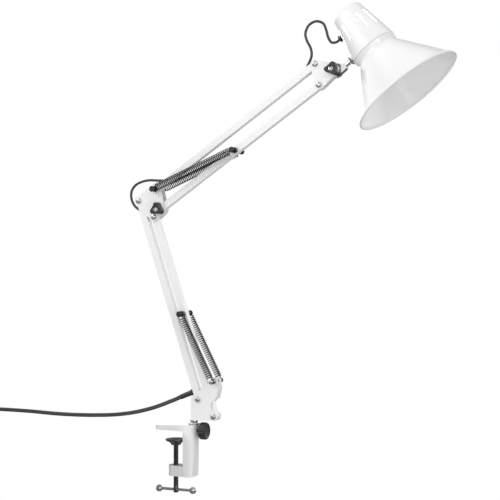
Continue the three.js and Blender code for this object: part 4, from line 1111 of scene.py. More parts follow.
@dataclass(frozen=True)
class SquareTube:
    """A square tube with round ends, drilled for its pins and slotted for the lead."""

    width: float = 10 * MM
    wall: float = 1 * MM

    def make(
        self, name: str, first: Vector, last: Vector, holes: Sequence[tuple[float, float]],
        slots: Sequence[tuple[float, float, float]] = ()
    ) -> bpy.types.Object:
        """Makes the tube.

        Args:
            name: Its name.
            first: Its first pivot.
            last: Its last pivot.
            holes: Each cross hole's distance from the first pivot and its radius.
            slots: Each slot in its upper side: from, to and width.

        Returns:
            The tube.
        """
        half, length = self.width / 2, (last - first).length
        tube = block(name, (-half, -half, -half), (length + half, half, half))
        with editing(tube) as mesh:
            pick_edges(
                mesh, lambda e: all(abs(abs(v.co.z) - half) < 1e-6 for v in e.verts)
                and abs(e.verts[0].co.x - e.verts[1].co.x) < 1e-6
                and abs(e.verts[0].co.z - e.verts[1].co.z) < 1e-6
            )
            bpy.ops.mesh.bevel(offset=half * 0.98, segments=10, affect="EDGES")
        soften(tube, 0.85 * MM, 4, 40)
        bore = half - self.wall
        tool = block("bore", (-2 * half, -bore, -bore), (length + 2 * half, bore, bore))
        with editing(tool) as mesh:
            pick_edges(mesh, lambda e: abs(e.verts[0].co.x - e.verts[1].co.x) > 1e-6)
            bpy.ops.mesh.bevel(offset=0.5 * MM, segments=2, affect="EDGES")
        use_tool(tube, tool)
        for x, radius in holes:
            use_tool(tube, bar_round("hole", radius, Vector((x, -2 * half, 0)), Vector((x, 2 * half, 0)), 28))
        for start, end, wide in slots:
            cut = wide / 2
            middle_part = block("slot", (start + cut, -cut, 0), (end - cut, cut, 2 * half))
            use_tool(tube, middle_part)
            for x in (start + cut, end - cut):
                use_tool(tube, bar_round("slot_end", cut, Vector((x, 0, 0)), Vector((x, 0, 2 * half)), 28))
        tidy(tube)
        return shade(swing(tube, first, climb(last - first)), 30)


# ------------------------------------------------------------------ cords and leads

LEAD_RADIUS = 1.8 * MM
GROMMET_FALL = 206  # with the bar's left, the heading that the strain relief leaves halfway to
CORD_SPLIT = Vector((-8, 6, 40.4)) * MM
CORD_TO_COIL = [
    (-38, 25, 29.6), (-60, 37, 22.6), (-83, 47, 16.4), (-105, 57, 11.5), (-127, 65, 7.7), (-147, 71, 5.1),
    (-166, 73, 3.7), (-182, 71.5, 3.1), (-197, 69, 3), (-213, 67.5, 3), (-231, 68, 3), (-250, 70.5, 3),
    (-269, 75, 3), (-292, 79.5, 3), (-318, 82, 3), (-344, 83, 3), (-367.5, 83, 3)
]
CORD_TO_SWITCH = [
    (-434.6, 30, 7.6), (-432.5, 16, 5), (-430, 2, 3.4), (-424, -12, 3.2), (-415, -20, 4.6),
    (-406.5, -22, 5.9), (-400.5, -22, 6)
]
CORD_TO_PLUG = [
    (-335.5, -22, 6), (-329.5, -22, 5.9), (-320, -25.4, 4.4), (-312, -33, 3.2), (-308.6, -46, 3.2),
    (-312, -59, 4.4), (-320, -67, 6.6), (-328, -70, 7.6), (-333.5, -70, 7.6)
]


def in_metres(points: Sequence[tuple[float, float, float]]) -> list[Vector]:
    """Gives points that are written in millimetres as vectors in metres."""
    return [Vector(p) * MM for p in points]


def twin_outline(width: float, height: float, sides: int = 10) -> list[tuple[float, float]]:
    """Gives the outline of a flat twin cord: two round cores side by side with a groove between them.

    Args:
        width: The cord's width over both cores.
        height: Its thickness.
        sides: Points round each core.

    Returns:
        The outline's points.
    """
    core = height / 2
    reach = width / 2 - core
    outline = []
    for centre, start in ((reach, -130.0), (-reach, 50.0)):
        for i in range(sides):
            a = math.radians(start + 260 * i / (sides - 1))
            outline.append((centre + core * math.cos(a), core * math.sin(a)))
    return outline


@dataclass
class Cords(SubAssembly):
    """The mains cord with its coil, and the leads between the arms.

    Attributes:
        twin_width: The mains cord's width.
        twin_height: Its thickness.
        coil: The coil's centre on the desk.
        inner: Radius of the coil's innermost turn.
        outer: Radius of its outermost turn.
        step: The distance between two sections of a cord.
        swing_length: How much of the mains cord swings with the lower arm.
    """

    twin_width: float = 6 * MM
    twin_height: float = 3.7 * MM
    coil: Vector = field(default_factory=lambda: Vector((-392, 44, 0)) * MM)
    inner: float = 27 * MM
    outer: float = 39 * MM
    step: float = 3 * MM
    swing_length: float = 42 * MM

    def build(self) -> None:
        """Makes the grommet, the mains cord in its stretches and the leads."""
        self.exit, self.axis = self.grommet()
        self.mains()
        self.elbow_lead()
        self.head_lead()
        self.inner_leads()

    def grommet(self) -> tuple[Vector, Vector]:
        """Makes the tapered strain relief at the foot of the rear bar.

        Returns:
            Where the cord leaves it, and in which direction.
        """
        seat = LOWER_PIVOT + LOWER_DIR * 12 * MM
        axis = (LOWER_LEFT + heading(GROMMET_FALL)).normalized()
        start = seat + LOWER_LEFT * 5.3 * MM
        length, collar, mouth = 22 * MM, 4.6 * MM, 3.75 * MM
        profile = [(collar * 0.8, -1.5 * MM), (collar, 0), (collar, 3.4 * MM), (collar - 0.6 * MM, 4 * MM)]
        for i in range(6):
            at_share = 5 * MM + (length - 6.4 * MM) * i / 5
            r = collar - 0.75 * MM - 0.2 * MM * i / 5
            profile += [(r, at_share), (r, at_share + 1.1 * MM), (r - 0.45 * MM, at_share + 1.3 * MM)]
            profile += [(r - 0.45 * MM, at_share + 1.9 * MM)]
        profile = [p for p in profile if p[1] < length - 0.6 * MM]
        profile += [
            (mouth, length - 0.5 * MM), (mouth - 0.4 * MM, length), (3.1 * MM, length),
            (3.1 * MM, length - 4 * MM)
        ]
        relief = turned("cord_relief", profile, start, axis, 32)
        self.fit(relief, "lower_rear", BLACK_PLASTIC, "cord_grommet")
        return start + axis * (length - 5.7 * MM), axis

    def mains(self) -> None:
        """Makes the mains cord: the swinging lead, the run over the desk, the coil, and the stretches to the
        switch and the plug."""
        route = in_metres(CORD_TO_COIL)
        away = (route[0] - CORD_SPLIT).normalized()
        swing_route = [self.exit, self.exit + self.axis * 7 * MM, CORD_SPLIT - away * 6 * MM, CORD_SPLIT]
        free = smooth_route([*swing_route, CORD_SPLIT + away * 8 * MM, *route], self.step)
        split = round(self.swing_length / self.step)
        lead, run = free[: split + 1], free[split:]
        swing_piece = self.flat_cord("mains_lead_cord", lead)
        SHEATH.dress(swing_piece)
        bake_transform(swing_piece)
        self.record(swing_piece, "mains_lead")
        whole = run + self.coil_line()[1:]
        run_piece = self.flat_cord("mains_cord_run", whole)
        SHEATH.dress(run_piece)
        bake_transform(run_piece)
        self.record(run_piece, "mains_cord", "cord_coil")
        to_switch = smooth_route([whole[-1], *in_metres(CORD_TO_SWITCH)], self.step)
        to_plug = smooth_route(in_metres(CORD_TO_PLUG), self.step)
        self.lines = {"lead": lead, "run": whole, "switch": to_switch, "plug": to_plug}
        for name, node, line in (
            ("cord_at_switch", "cord_to_switch", to_switch), ("cord_at_plug", "cord_to_plug", to_plug)
        ):
            self.fit(self.flat_cord(name, line), "clamp", SHEATH, node)
        self.tie()

    def flat_cord(self, name: str, line: Sequence[Vector]) -> bpy.types.Object:
        """Makes a stretch of the flat twin cord, which stands on its edge."""
        frames = []
        for i, point in enumerate(line):
            ahead = (line[min(i + 1, len(line) - 1)] - line[max(i - 1, 0)]).normalized()
            tall = (UP - ahead * UP.dot(ahead)).normalized()
            frames.append((point, tall, ahead.cross(tall)))
        return swept(name, frames, twin_outline(self.twin_width, self.twin_height))

    def coil_line(self) -> list[Vector]:
        """Gives the coil's line: turns from the outside in, then a layer on them from the inside out."""
        points = []
        low, high = 3 * MM, 9.1 * MM
        steps = 72
        for i in range(3 * steps + 1):
            share = i / (3 * steps)
            points.append((90 + 360 * 3 * share, self.outer - (self.outer - self.inner) * share, low))
        rise = steps // 3
        for i in range(1, rise + 1):
            share = i / rise
            smooth = share * share * (3 - 2 * share)
            points.append((90 + 1080 + 120 * share, self.inner, low + (high - low) * smooth))
        turns = 2.25 - 120 / 360
        count = round(turns * steps)
        for i in range(1, count + 1):
            share = i / count
            points.append(
                (90 + 1200 + 360 * turns * share, self.inner + (self.outer - self.inner) * share, high)
            )
        line = []
        for degrees, radius, z in points:
            a = math.radians(degrees)
            line.append(self.coil + Vector((radius * math.cos(a), radius * math.sin(a), z)))
        return evenly(line, self.step)

    def tie(self) -> None:
        """Makes the twist tie that holds the coil's turns together."""
        radial = Vector((1, 0, 0))
        centre = self.coil + radial * (self.inner + self.outer) / 2 + UP * 6.1 * MM
        wide, tall = (self.outer - self.inner) / 2 + 2.6 * MM, 6.1 * MM
        loop = []
        for i in range(48):
            a = math.tau * i / 48
            c, s = math.cos(a), math.sin(a)
            x = math.copysign(abs(c) ** 0.5, c) * wide
            z = math.copysign(abs(s) ** 0.5, s) * tall
            loop.append(centre + Vector((x, 0, z)))
        band = ribbon("coil_tie", loop, 2.2 * MM, 0.55 * MM)
        self.fit(band, "clamp", BLACK_PLASTIC)

    def round_lead(self, name: str, line: Sequence[Vector]) -> bpy.types.Object:
        """Makes a stretch of the round lead."""
        return swept(name, section_frames(line, ACROSS), circle_outline(LEAD_RADIUS, 20))

    def across(
        self, name: str, node: str, line: list[Vector], spans: Sequence[tuple[str, str, int, int]]
    ) -> None:
        """Makes a lead that crosses several joints, as one stretch for each joint.

        Args:
            name: The start of each stretch's name.
            node: The CAD node that the stretches replace.
            line: The lead's line.
            spans: For each stretch, its two bodies and its first and last point's number.
        """
        for i, (before, after, start, end) in enumerate(spans):
            part = line[start : end + 1]
            piece = self.round_lead(f"{name}_{i + 1}", part)
            SHEATH.dress(piece)
            if before == after:
                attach(piece, before)
            else:
                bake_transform(piece)
            self.record(piece, node)

    def elbow_lead(self) -> None:
        """Makes the lead that loops from the rear lower bar round the elbow into the upper cable bar."""
        in_lower = ELBOW_REAR - LOWER_DIR * 24.6 * MM
        in_upper = UPPER_CABLE + UPPER_DIR * 24.6 * MM
        middle_points = [
            (-66.6, 321.5), (-71.6, 332), (-71, 343), (-64, 351.6), (-53, 356.2), (-41.5, 357.8),
            (-30, 357.2)
        ]
        route = [
            in_lower, in_lower + LOWER_DIR * 5 * MM + LOWER_LEFT * 0.6 * MM,
            in_lower + LOWER_DIR * 10.5 * MM + LOWER_LEFT * 4.4 * MM,
            *(Vector((x, 0, z)) * MM for x, z in middle_points),
            in_upper - UPPER_DIR * 11 * MM + UPPER_TOP * 5.8 * MM,
            in_upper - UPPER_DIR * 5 * MM + UPPER_TOP * 0.8 * MM, in_upper
        ]
        line = smooth_route(route, 1.5 * MM)
        half = len(line) // 2
        self.across(
            "elbow_lead", "elbow_lead", line,
            [("lower_rear", "elbow", 0, half), ("elbow", "upper_cable", half, len(line) - 1)]
        )

    def head_lead(self) -> None:
        """Makes the lead that rises from the upper cable bar and curls over into the cap's gland."""
        in_head = HEAD_CABLE - UPPER_DIR * 24.6 * MM
        middle_points = [
            (205.6, 523.5), (204.4, 534), (199, 544.5), (196.6, 555), (201.8, 566), (212, 570.6),
            (222.4, 567), (226.8, 557.5), (229.6, 547.6), (234.6, 540.3)
        ]
        out = -SHADE.rod_dir
        face = SHADE.at(-SHADE.cap_radius(SHADE.gland_height) - 4.7 * MM, SHADE.gland_height)
        route = [
            in_head, in_head + UPPER_DIR * 5 * MM + UPPER_TOP * 0.7 * MM,
            in_head + UPPER_DIR * 11.5 * MM + UPPER_TOP * 5.2 * MM,
            *(Vector((x, 0, z)) * MM for x, z in middle_points), face + out * 4 * MM, face
        ]
        line = smooth_route(route, 1.5 * MM)
        a, b = len(line) * 2 // 5, len(line) * 7 // 10
        self.across(
            "head_lead", "head_lead", line,
            [
                ("upper_cable", "head", 0, a), ("head", "knuckle", a, b),
                ("knuckle", "shade", b, len(line) - 1)
            ]
        )

    def inner_leads(self) -> None:
        """Makes the straight leads inside the two hollow bars."""
        for name, node, body, first, last, gap in (
            ("lead_in_lower_bar", "lower_bar_lead", "lower_rear", LOWER_PIVOT, ELBOW_REAR, 20.6 * MM),
            ("lead_in_upper_bar", "upper_bar_lead", "upper_cable", UPPER_CABLE, HEAD_CABLE, 24.9 * MM)
        ):
            ahead = (last - first).normalized()
            line = evenly([first + ahead * gap, last - ahead * 24.9 * MM], 6 * MM)
            piece = self.round_lead(name, line)
            self.fit(piece, body, SHEATH, node)

    def declare(self, switch: Sequence[bpy.types.Object], plug: Sequence[bpy.types.Object]) -> None:
        """Args:
            switch: The pieces of the switch; not used.
            plug: The pieces of the plug; not used.
        """


def ribbon(name: str, loop: Sequence[Vector], width: float, thick: float) -> bpy.types.Object:
    """Makes a thin band round a closed loop in the middle plane's direction.

    Args:
        name: The band's name.
        loop: The points of its inside.
        width: Its width along Y.
        thick: Its thickness.

    Returns:
        The band.
    """
    centre = sum(loop, Vector()) / len(loop)
    count = len(loop)
    points, faces = [], []
    for point in loop:
        out = (point - centre).normalized() * thick
        for y, extra in ((-1, 0), (1, 0), (1, 1), (-1, 1)):
            points.append(point + out * extra + ACROSS * y * width / 2)
    for i in range(count):
        a, b = i * 4, ((i + 1) % count) * 4
        faces += [(a + k, a + (k + 1) % 4, b + (k + 1) % 4, b + k) for k in range(4)]
    mesh = bpy.data.meshes.new(name)
    mesh.from_pydata(points, [], faces)
    band = bpy.data.objects.new(name, mesh)
    bpy.context.collection.objects.link(band)
    with editing(band):
        bpy.ops.mesh.select_all(action="SELECT")
        bpy.ops.mesh.normals_make_consistent(inside=False)
    return shade(band, 40)


# ------------------------------------------------------------------ springs


@dataclass
class SpringPair(SubAssembly):
    """Two tension springs side by side, each with a hook at its two ends.

    Attributes:
        prefix: The start of the CAD nodes' names.
        first: Where the springs' first hooks hang.
        last: Where their last hooks hang.
        bodies: The body of the first and of the last hook.
        radius: The coil's outside radius.
        wire: The wire's radius.
        pitch: The distance between two turns.
    """

    prefix: str
    first: Vector
    last: Vector
    bodies: tuple[str, str]
    radius: float
    wire: float
    pitch: float

    def build(self) -> None:
        """Makes one spring and copies it to the other side."""
        line = self.line()
        near = swept(f"{self.prefix}_coil_near", section_frames(line, ACROSS), circle_outline(self.wire, 7))
        far = copied(near, f"{self.prefix}_coil_far", Vector())
        for piece, side in ((near, Side.NEAR), (far, Side.FAR)):
            piece.location = ACROSS * SPRING_Y * side.value
            settle(piece)
            BLACK_STEEL.dress(piece)
            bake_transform(piece)
            self.record(piece, f"{self.prefix}_spring_{side.word}")

    def line(self) -> list[Vector]:
        """Gives the wire's line from hook to hook, on the middle plane."""
        along = (self.last - self.first).normalized()
        up = along.cross(ACROSS).normalized()
        length = (self.last - self.first).length
        mean = self.radius - self.wire
        hook = 2.2 * MM + self.wire + 0.25 * MM
        start, end = hook + 2.6 * MM, length - hook - 2.6 * MM
        turns = round((end - start) / self.pitch)
        steps = 16
        points = []
        for i in range(11):
            a = math.radians(-150 + 240 * i / 10)
            points.append((hook * math.sin(a), 0.0, hook * math.cos(a)))
        points = [(-x, y, z) for x, y, z in points]
        points.append((start * 0.8, 0.0, hook * 0.6))
        for i in range(turns * steps + 1):
            a = math.tau * i / steps
            x = start + (end - start) * i / (turns * steps)
            points.append((x, mean * math.sin(a), mean * math.cos(a)))
        points.append((length - start * 0.8, 0.0, hook * 0.6))
        for i in range(11):
            a = math.radians(90 - 240 * i / 10)
            points.append((length + hook * math.sin(a), 0.0, hook * math.cos(a)))
        return [self.first + along * x + ACROSS * y + up * z for x, y, z in points]


# ------------------------------------------------------------------ clamp


@dataclass
class Clamp(SubAssembly):
    """The cast clamp with its screw, its pad, its tommy bar and the knob that locks the swivel.

    Attributes:
        width: The casting's width.
        throat: The post's face towards the screw.
        post: The post's thickness at the jaw.
        foot: Its thickness at the foot.
        jaw: The jaw's thickness at the post.
        tip: Its thickness at the tip.
        nose: Centre of the jaw's round nose.
    """

    width: float = 28 * MM
    throat: float = 17 * MM
    post: float = 17 * MM
    foot: float = 13 * MM
    jaw: float = 8.6 * MM
    tip: float = 6 * MM
    nose: float = -16.5 * MM
    spindle: float = 3.6 * MM

    def build(self) -> None:
        """Makes the clamp's pieces."""
        self.fit(self.casting(), "clamp", WHITE_PAINT, "clamp_frame")
        self.fit(self.pad(), "pad", SCREW_STEEL, "clamp_pad")
        self.fit(self.screw(), "spindle", SCREW_STEEL, "clamp_spindle")
        bar, ball = self.tommy()
        self.fit(bar, "tommy", PLATED, "tommy_bar")
        self.fit(ball, "tommy", PLATED, "tommy_ball")
        self.fit(self.lock(), "lock_knob", BLACK_PLASTIC, "lock_knob")

    def casting(self) -> bpy.types.Object:
        """Makes the casting: a jaw that tapers to a round nose, a post and a boss for the screw.

        Returns:
            The casting.
        """
        half, bottom, top = self.width / 2, -65.5 * MM, self.jaw
        post_end = self.throat + self.post
        plan = self.column(
            "clamp_casting",
            [
                (self.nose, 0, half), (post_end - 12.5 * MM, -1.5 * MM, 12.5 * MM),
                (post_end - 12.5 * MM, 1.5 * MM, 12.5 * MM)
            ],
            bottom, top + MM
        )
        profile = side_slab(
            "profile",
            [
                (self.nose - half - MM, 0), (self.throat - 1.5 * MM, 0), (self.throat, -1.5 * MM),
                (self.throat, bottom), (self.throat + self.foot, bottom), (post_end, -self.jaw),
                (post_end, top), (self.throat - 2 * MM, top), (self.nose - half - MM, self.tip)
            ],
            -half - MM, half + MM
        )
        apply_modifier(plan, "BOOLEAN", operation="INTERSECT", solver="EXACT", object=profile)
        bpy.data.objects.remove(profile)
        boss = self.column(
            "boss", [(0, 0, 10.2 * MM), (24 * MM, -7.6 * MM, 5.2 * MM), (24 * MM, 7.6 * MM, 5.2 * MM)],
            bottom, -50.5 * MM
        )
        use_tool(plan, boss, Cut.ONTO)
        for radius, x, low, high in ((4 * MM, 0, bottom, -50 * MM), (4.4 * MM, 28.5 * MM, -23 * MM, top)):
            use_tool(plan, bar_round("hole", radius, Vector((x, 0, low - MM)), Vector((x, 0, high + MM)), 40))
        stud_hole = bar_round("hole", 2.9 * MM, Vector((28.5, 0, 0)) * MM, Vector((36, 0, 0)) * MM, 32)
        use_tool(plan, stud_hole)
        return soften(plan, 1.3 * MM, 4, 30)

    def column(
        self, name: str, circles: Sequence[tuple[float, float, float]], low: float, high: float
    ) -> bpy.types.Object:
        """Makes an upright column whose plan is drawn tight round circles, each x, y and radius."""
        standing = [(Vector((x, 0, -y)), r) for x, y, r in circles]
        piece = hulled(name, standing, low, high)
        piece.rotation_euler = (math.pi / 2, 0, 0)
        return settle(piece)

    def pad(self) -> bpy.types.Object:
        """Makes the dished pad on the screw's end."""
        top, rim, bore = -13.5 * MM, 15 * MM, 3.9 * MM
        profile = [
            (bore, -8.5 * MM), (6.4 * MM, -8.5 * MM), (7.2 * MM, -7.9 * MM), (7.6 * MM, -6.3 * MM),
            (9.4 * MM, -4.9 * MM), (12 * MM, -3.5 * MM), (rim - 0.9 * MM, -2.5 * MM),
            (rim - 0.2 * MM, -1.8 * MM), (rim, -1.1 * MM), (rim - 0.1 * MM, -0.4 * MM), (rim - 0.6 * MM, 0),
            (9 * MM, 0), (8.2 * MM, -0.5 * MM), (4.6 * MM, -0.5 * MM), (3.9 * MM, -0.1 * MM),
            (0.2 * MM, -0.1 * MM), (0.2 * MM, -3 * MM), (bore, -3 * MM)
        ]
        return turned("pressure_pad", profile, UP * top, UP, 72, Ends.LOOPED)

    def screw(self) -> bpy.types.Object:
        """Makes the clamp screw with its rolled thread and the eye for the tommy bar."""
        bottom, tip, r = -90.5 * MM, -16.8 * MM, self.spindle
        profile = [(r * 0.5, 0), (r * 0.9, 0.5 * MM), (r, 1.4 * MM), (r, 9 * MM), (r - 0.5 * MM, 10 * MM)]
        z, pitch = 10.5 * MM, 1.25 * MM
        end = tip - bottom - 3 * MM
        while z < end:
            profile += [
                (r, z), (r, z + 0.2 * pitch), (r - 0.5 * MM, z + 0.55 * pitch),
                (r - 0.5 * MM, z + 0.7 * pitch)
            ]
            z += pitch
        profile += [(r - 0.9 * MM, z), (r - 0.9 * MM, tip - bottom - 0.8 * MM), (r * 0.4, tip - bottom)]
        screw = turned("clamp_screw", profile, UP * bottom, UP, 36)
        eye = bar_round("eye", 2.3 * MM, Vector((-5, 0, -86)) * MM, Vector((5, 0, -86)) * MM, 32)
        use_tool(screw, eye)
        return shade(tidy(screw), 35)

    def tommy(self) -> tuple[bpy.types.Object, bpy.types.Object]:
        """Makes the tommy bar with its fixed ball, and the ball pressed on its other end."""
        z, reach = -86 * MM, 26.5 * MM
        ball = self.ball_profile(5 * MM)
        first = turned("ball", ball, Vector((-reach, 0, z)), OUT, 40)
        rod = turned(
            "tommy_rod", [(1.7 * MM, 0), (2 * MM, 0.4 * MM), (2 * MM, 55 * MM), (1.5 * MM, 55.6 * MM)],
            Vector((-reach, 0, z)), OUT, 28
        )
        second = turned("tommy_end_ball", ball, Vector((reach, 0, z)), OUT, 40)
        use_tool(second, bar_round("socket", 2.3 * MM, Vector((0, 0, z)), Vector((29.8 * MM, 0, z)), 28))
        return joined("tommy_rod_and_ball", rod, first), shade(tidy(second), 35)

    def ball_profile(self, radius: float) -> list[tuple[float, float]]:
        """Gives a ball's profile, with a small flat at each end."""
        angles = [-84 + 168 * i / 20 for i in range(21)]
        return [(radius * math.cos(math.radians(a)), radius * math.sin(math.radians(a))) for a in angles]

    def lock(self) -> bpy.types.Object:
        """Makes the ribbed knob that locks the swivel, with its stud."""
        r, length, face = 12.2 * MM, 10.5 * MM, 39 * MM
        profile = [
            (3.4 * MM, -1.6 * MM), (5 * MM, -1.2 * MM), (5.4 * MM, 0), (r - 1.6 * MM, 0),
            (r - 0.5 * MM, 0.5 * MM), (r, 1.7 * MM), (r, length - 2.2 * MM),
            (r - 0.6 * MM, length - 1.1 * MM), (r - 2 * MM, length - 0.2 * MM),
            (r - 3.4 * MM, length - 0.4 * MM), (r - 4.6 * MM, length - 1.3 * MM),
            (2 * MM, length - 1.5 * MM)
        ]
        knob = turned("swivel_lock_knob", profile, Vector((face, 0, 0)), OUT, 96)
        grooves = []
        for i in range(24):
            a = math.tau * i / 24
            spot = Vector((face, (r + 0.55 * MM) * math.cos(a), (r + 0.55 * MM) * math.sin(a)))
            grooves.append(
                bar_round("groove", 1.05 * MM, spot + OUT * 1.1 * MM, spot + OUT * (length + MM), 12)
            )
        use_tool(knob, joined("grooves", *grooves))
        tidy(knob)
        shade(knob, 32)
        stud = turned(
            "stud", [(2 * MM, 0), (2.5 * MM, 0.6 * MM), (2.5 * MM, 8 * MM)], Vector((32.8, 0, 0)) * MM, OUT,
            28
        )
        return joined("swivel_lock_knob", knob, stud)


def side_slab(name: str, outline: Sequence[tuple[float, float]], y0: float, y1: float) -> bpy.types.Object:
    """Makes a flat slab across the middle plane, from any outline of x and z.

    Args:
        name: The piece's name.
        outline: The outline's corners, anticlockwise seen from -Y.
        y0: The slab's near face.
        y1: Its far face.

    Returns:
        The slab.
    """
    mesh = bpy.data.meshes.new(name)
    mesh.from_pydata([(x, y0, z) for x, z in outline], [], [tuple(range(len(outline)))])
    slab = bpy.data.objects.new(name, mesh)
    bpy.context.collection.objects.link(slab)
    with editing(slab):
        bpy.ops.mesh.select_all(action="SELECT")
        bpy.ops.mesh.extrude_region_move(TRANSFORM_OT_translate={"value": (0, y1 - y0, 0)})
        bpy.ops.mesh.select_all(action="SELECT")
        bpy.ops.mesh.normals_make_consistent(inside=False)
    return slab


# ------------------------------------------------------------------ swivel base


@dataclass
class SwivelBase(SubAssembly):
    """The folded bracket that turns on the clamp, with its pin, its ring and the lower springs' studs."""

    edge: float = 6.4 * MM
    left: float = 26.7 * MM
    floor: float = 16 * MM
    sheet: float = 1.4 * MM

    def build(self) -> None:
        """Makes the base's pieces."""
        self.fit(self.ring(), "clamp", PLATED, "swivel_washer")
        self.fit(self.pin(), "base", PLATED, "base_pivot_pin")
        self.fit(self.bracket(), "base", WHITE_PAINT, "base_bracket")
        for side in Side:
            self.fit(self.stud(side), "base", PLATED, f"ear_stud_{side.word}")

    def ring(self) -> bpy.types.Object:
        """Makes the ring under the base."""
        profile = [(4.4, 0), (8, 0), (8.4, 0.4), (8.5, 1.1), (8.4, 1.8), (8, 2.2), (4.9, 2.2), (4.4, 1.8)]
        return turned(
            "swivel_ring", [(r * MM, h * MM) for r, h in profile], Vector((28.5, 0, 8.9)) * MM, UP, 56,
            Ends.LOOPED
        )

    def pin(self) -> bpy.types.Object:
        """Makes the pin that the base turns on."""
        profile = [
            (3, -22.4), (4, -21.6), (4, 11.3), (5.1, 11.4), (5.5, 11.9), (5.5, 15.2), (5.1, 15.7),
            (3, 15.7), (3, 17.7), (4.6, 17.7), (5, 18), (4.6, 19), (3.2, 19.9), (0.6, 20.2)
        ]
        return turned("swivel_pin", [(r * MM, h * MM) for r, h in profile], Vector((28.5 * MM, 0, 0)), UP, 40)

    def bracket(self) -> bpy.types.Object:
        """Makes the folded bracket: two side plates and the floor between them.

        Returns:
            The bracket.
        """
        front, ear, rear = LOWER_FRONT, EAR, LOWER_PIVOT
        near = side_slab("base_bracket_plates", self.outline(front, ear, rear), -PLATE_OUT, -PLATE_IN)
        for centre, radius in ((rear, 2.4 * MM), (front, 2.4 * MM), (ear, 2.6 * MM)):
            use_tool(near, bar_round("hole", radius, flat(centre, -8 * MM), flat(centre, -4 * MM), 32))
        far = copied(near, "far_plate", ACROSS * (PLATE_IN + PLATE_OUT))
        plates = joined("base_bracket_plates", near, far)
        floor = block(
            "floor", (self.left, -PLATE_OUT, self.floor),
            (self.left + 22 * MM, PLATE_OUT, self.floor + self.sheet)
        )
        use_tool(plates, floor, Cut.ONTO)
        hole = bar_round("hole", 3.4 * MM, Vector((28.5, 0, 15)) * MM, Vector((28.5, 0, 18)) * MM, 40)
        use_tool(plates, hole)
        return healed(soften(plates, 0.45 * MM, 3, 30))

    def outline(self, front: Vector, ear: Vector, rear: Vector) -> list[tuple[float, float]]:
        """Gives the side plate's outline.

        Args:
            front: The front pivot.
            ear: The ear that the springs hook on.
            rear: The rear pivot.

        Returns:
            Its corners.
        """
        points = [(self.left, self.floor - 0.6 * MM), (self.left + 22 * MM, self.floor - 0.6 * MM)]
        for i in range(15):
            spot = front + heading(-100 + 135 * i / 14) * self.edge
            points.append((spot.x, spot.z))
        start = Vector((points[-1][0], 0, points[-1][1]))
        waist = front + Vector((-12.8, 0, 14.7)) * MM
        neck = ear + Vector((3, 0, -24)) * MM
        for i in range(1, 15):
            t = i / 14
            spot = start * (1 - t) ** 2 + waist * 2 * t * (1 - t) + neck * t * t
            points.append((spot.x, spot.z))
        points.append((ear.x + 7 * MM, ear.z - 8 * MM))
        for i in range(13):
            spot = ear + heading(-12 + 155 * i / 12) * 5.5 * MM
            points.append((spot.x, spot.z))
        points.append((ear.x - 13 * MM, ear.z - 7 * MM))
        points.append((rear.x - 2 * MM, rear.z + 8 * MM))
        points.append((self.left, rear.z + 4 * MM))
        return points

    def stud(self, side: Side) -> bpy.types.Object:
        """Makes the riveted stud that a spring hooks on."""
        profile = [
            (1.4, 5.8), (2.2, 6.3), (2.2, 7.2), (3.2, 7.2), (3.4, 7.5), (3.4, 8.6), (3.1, 8.9), (2.2, 8.9),
            (2.2, 18), (3.1, 18), (3.4, 18.3), (3.2, 19), (1.4, 19.4)
        ]
        return turned(
            f"hook_stud_{side.word}", [(r * MM, h * MM) for r, h in profile], EAR, ACROSS * side.value, 28
        )


# ------------------------------------------------------------------ arms


@dataclass
class LowerArm(SubAssembly):
    """The two lower bars and the pin that their springs hook on."""

    tube: SquareTube = field(default_factory=SquareTube)

    def build(self) -> None:
        """Makes the lower arm's pieces."""
        length = (ELBOW_REAR - LOWER_PIVOT).length
        reach = (LOWER_PIN - LOWER_FRONT).length
        screw = 2.4 * MM
        rear = self.tube.make(
            "lower_bar_with_lead", LOWER_PIVOT, ELBOW_REAR, [(0, screw), (length, screw)],
            [(7.4 * MM, 16.6 * MM, 7 * MM), (length - 24.6 * MM, length - 4.6 * MM, 5.6 * MM)]
        )
        self.fit(rear, "lower_rear", WHITE_PAINT, "lower_rear_bar")
        front = self.tube.make(
            "lower_bar_with_springs", LOWER_FRONT, ELBOW_FRONT,
            [(0, screw), (reach, 2.6 * MM), (length, screw)]
        )
        self.fit(front, "lower_front", WHITE_PAINT, "lower_front_bar")
        self.fit(
            SpringPin().make("lower_hook_pin", LOWER_PIN, 5.3 * MM), "lower_front", GLOSS_BLACK,
            "lower_spring_pin"
        )


@dataclass
class UpperArm(SubAssembly):
    """The two upper bars and the pin that their springs hook on."""

    tube: SquareTube = field(default_factory=SquareTube)

    def build(self) -> None:
        """Makes the upper arm's pieces."""
        length = (HEAD_CABLE - UPPER_CABLE).length
        reach = (UPPER_PIN - UPPER_MAIN).length
        screw, pin = 2.4 * MM, 2.6 * MM
        main = self.tube.make(
            "upper_bar_with_springs", UPPER_MAIN, HEAD_MAIN, [(0, screw), (reach, pin), (length, screw)]
        )
        self.fit(main, "upper_main", WHITE_PAINT, "upper_main_bar")
        cable = self.tube.make(
            "upper_bar_with_lead", UPPER_CABLE, HEAD_CABLE, [(0, pin), (length, screw)],
            [(4.6 * MM, 24.6 * MM, 5.6 * MM), (length - 24.6 * MM, length - 4.6 * MM, 5.6 * MM)]
        )
        self.fit(cable, "upper_cable", WHITE_PAINT, "upper_cable_bar")
        self.fit(
            SpringPin().make("upper_hook_pin", UPPER_PIN, 5.3 * MM), "upper_main", GLOSS_BLACK,
            "upper_spring_pin"
        )


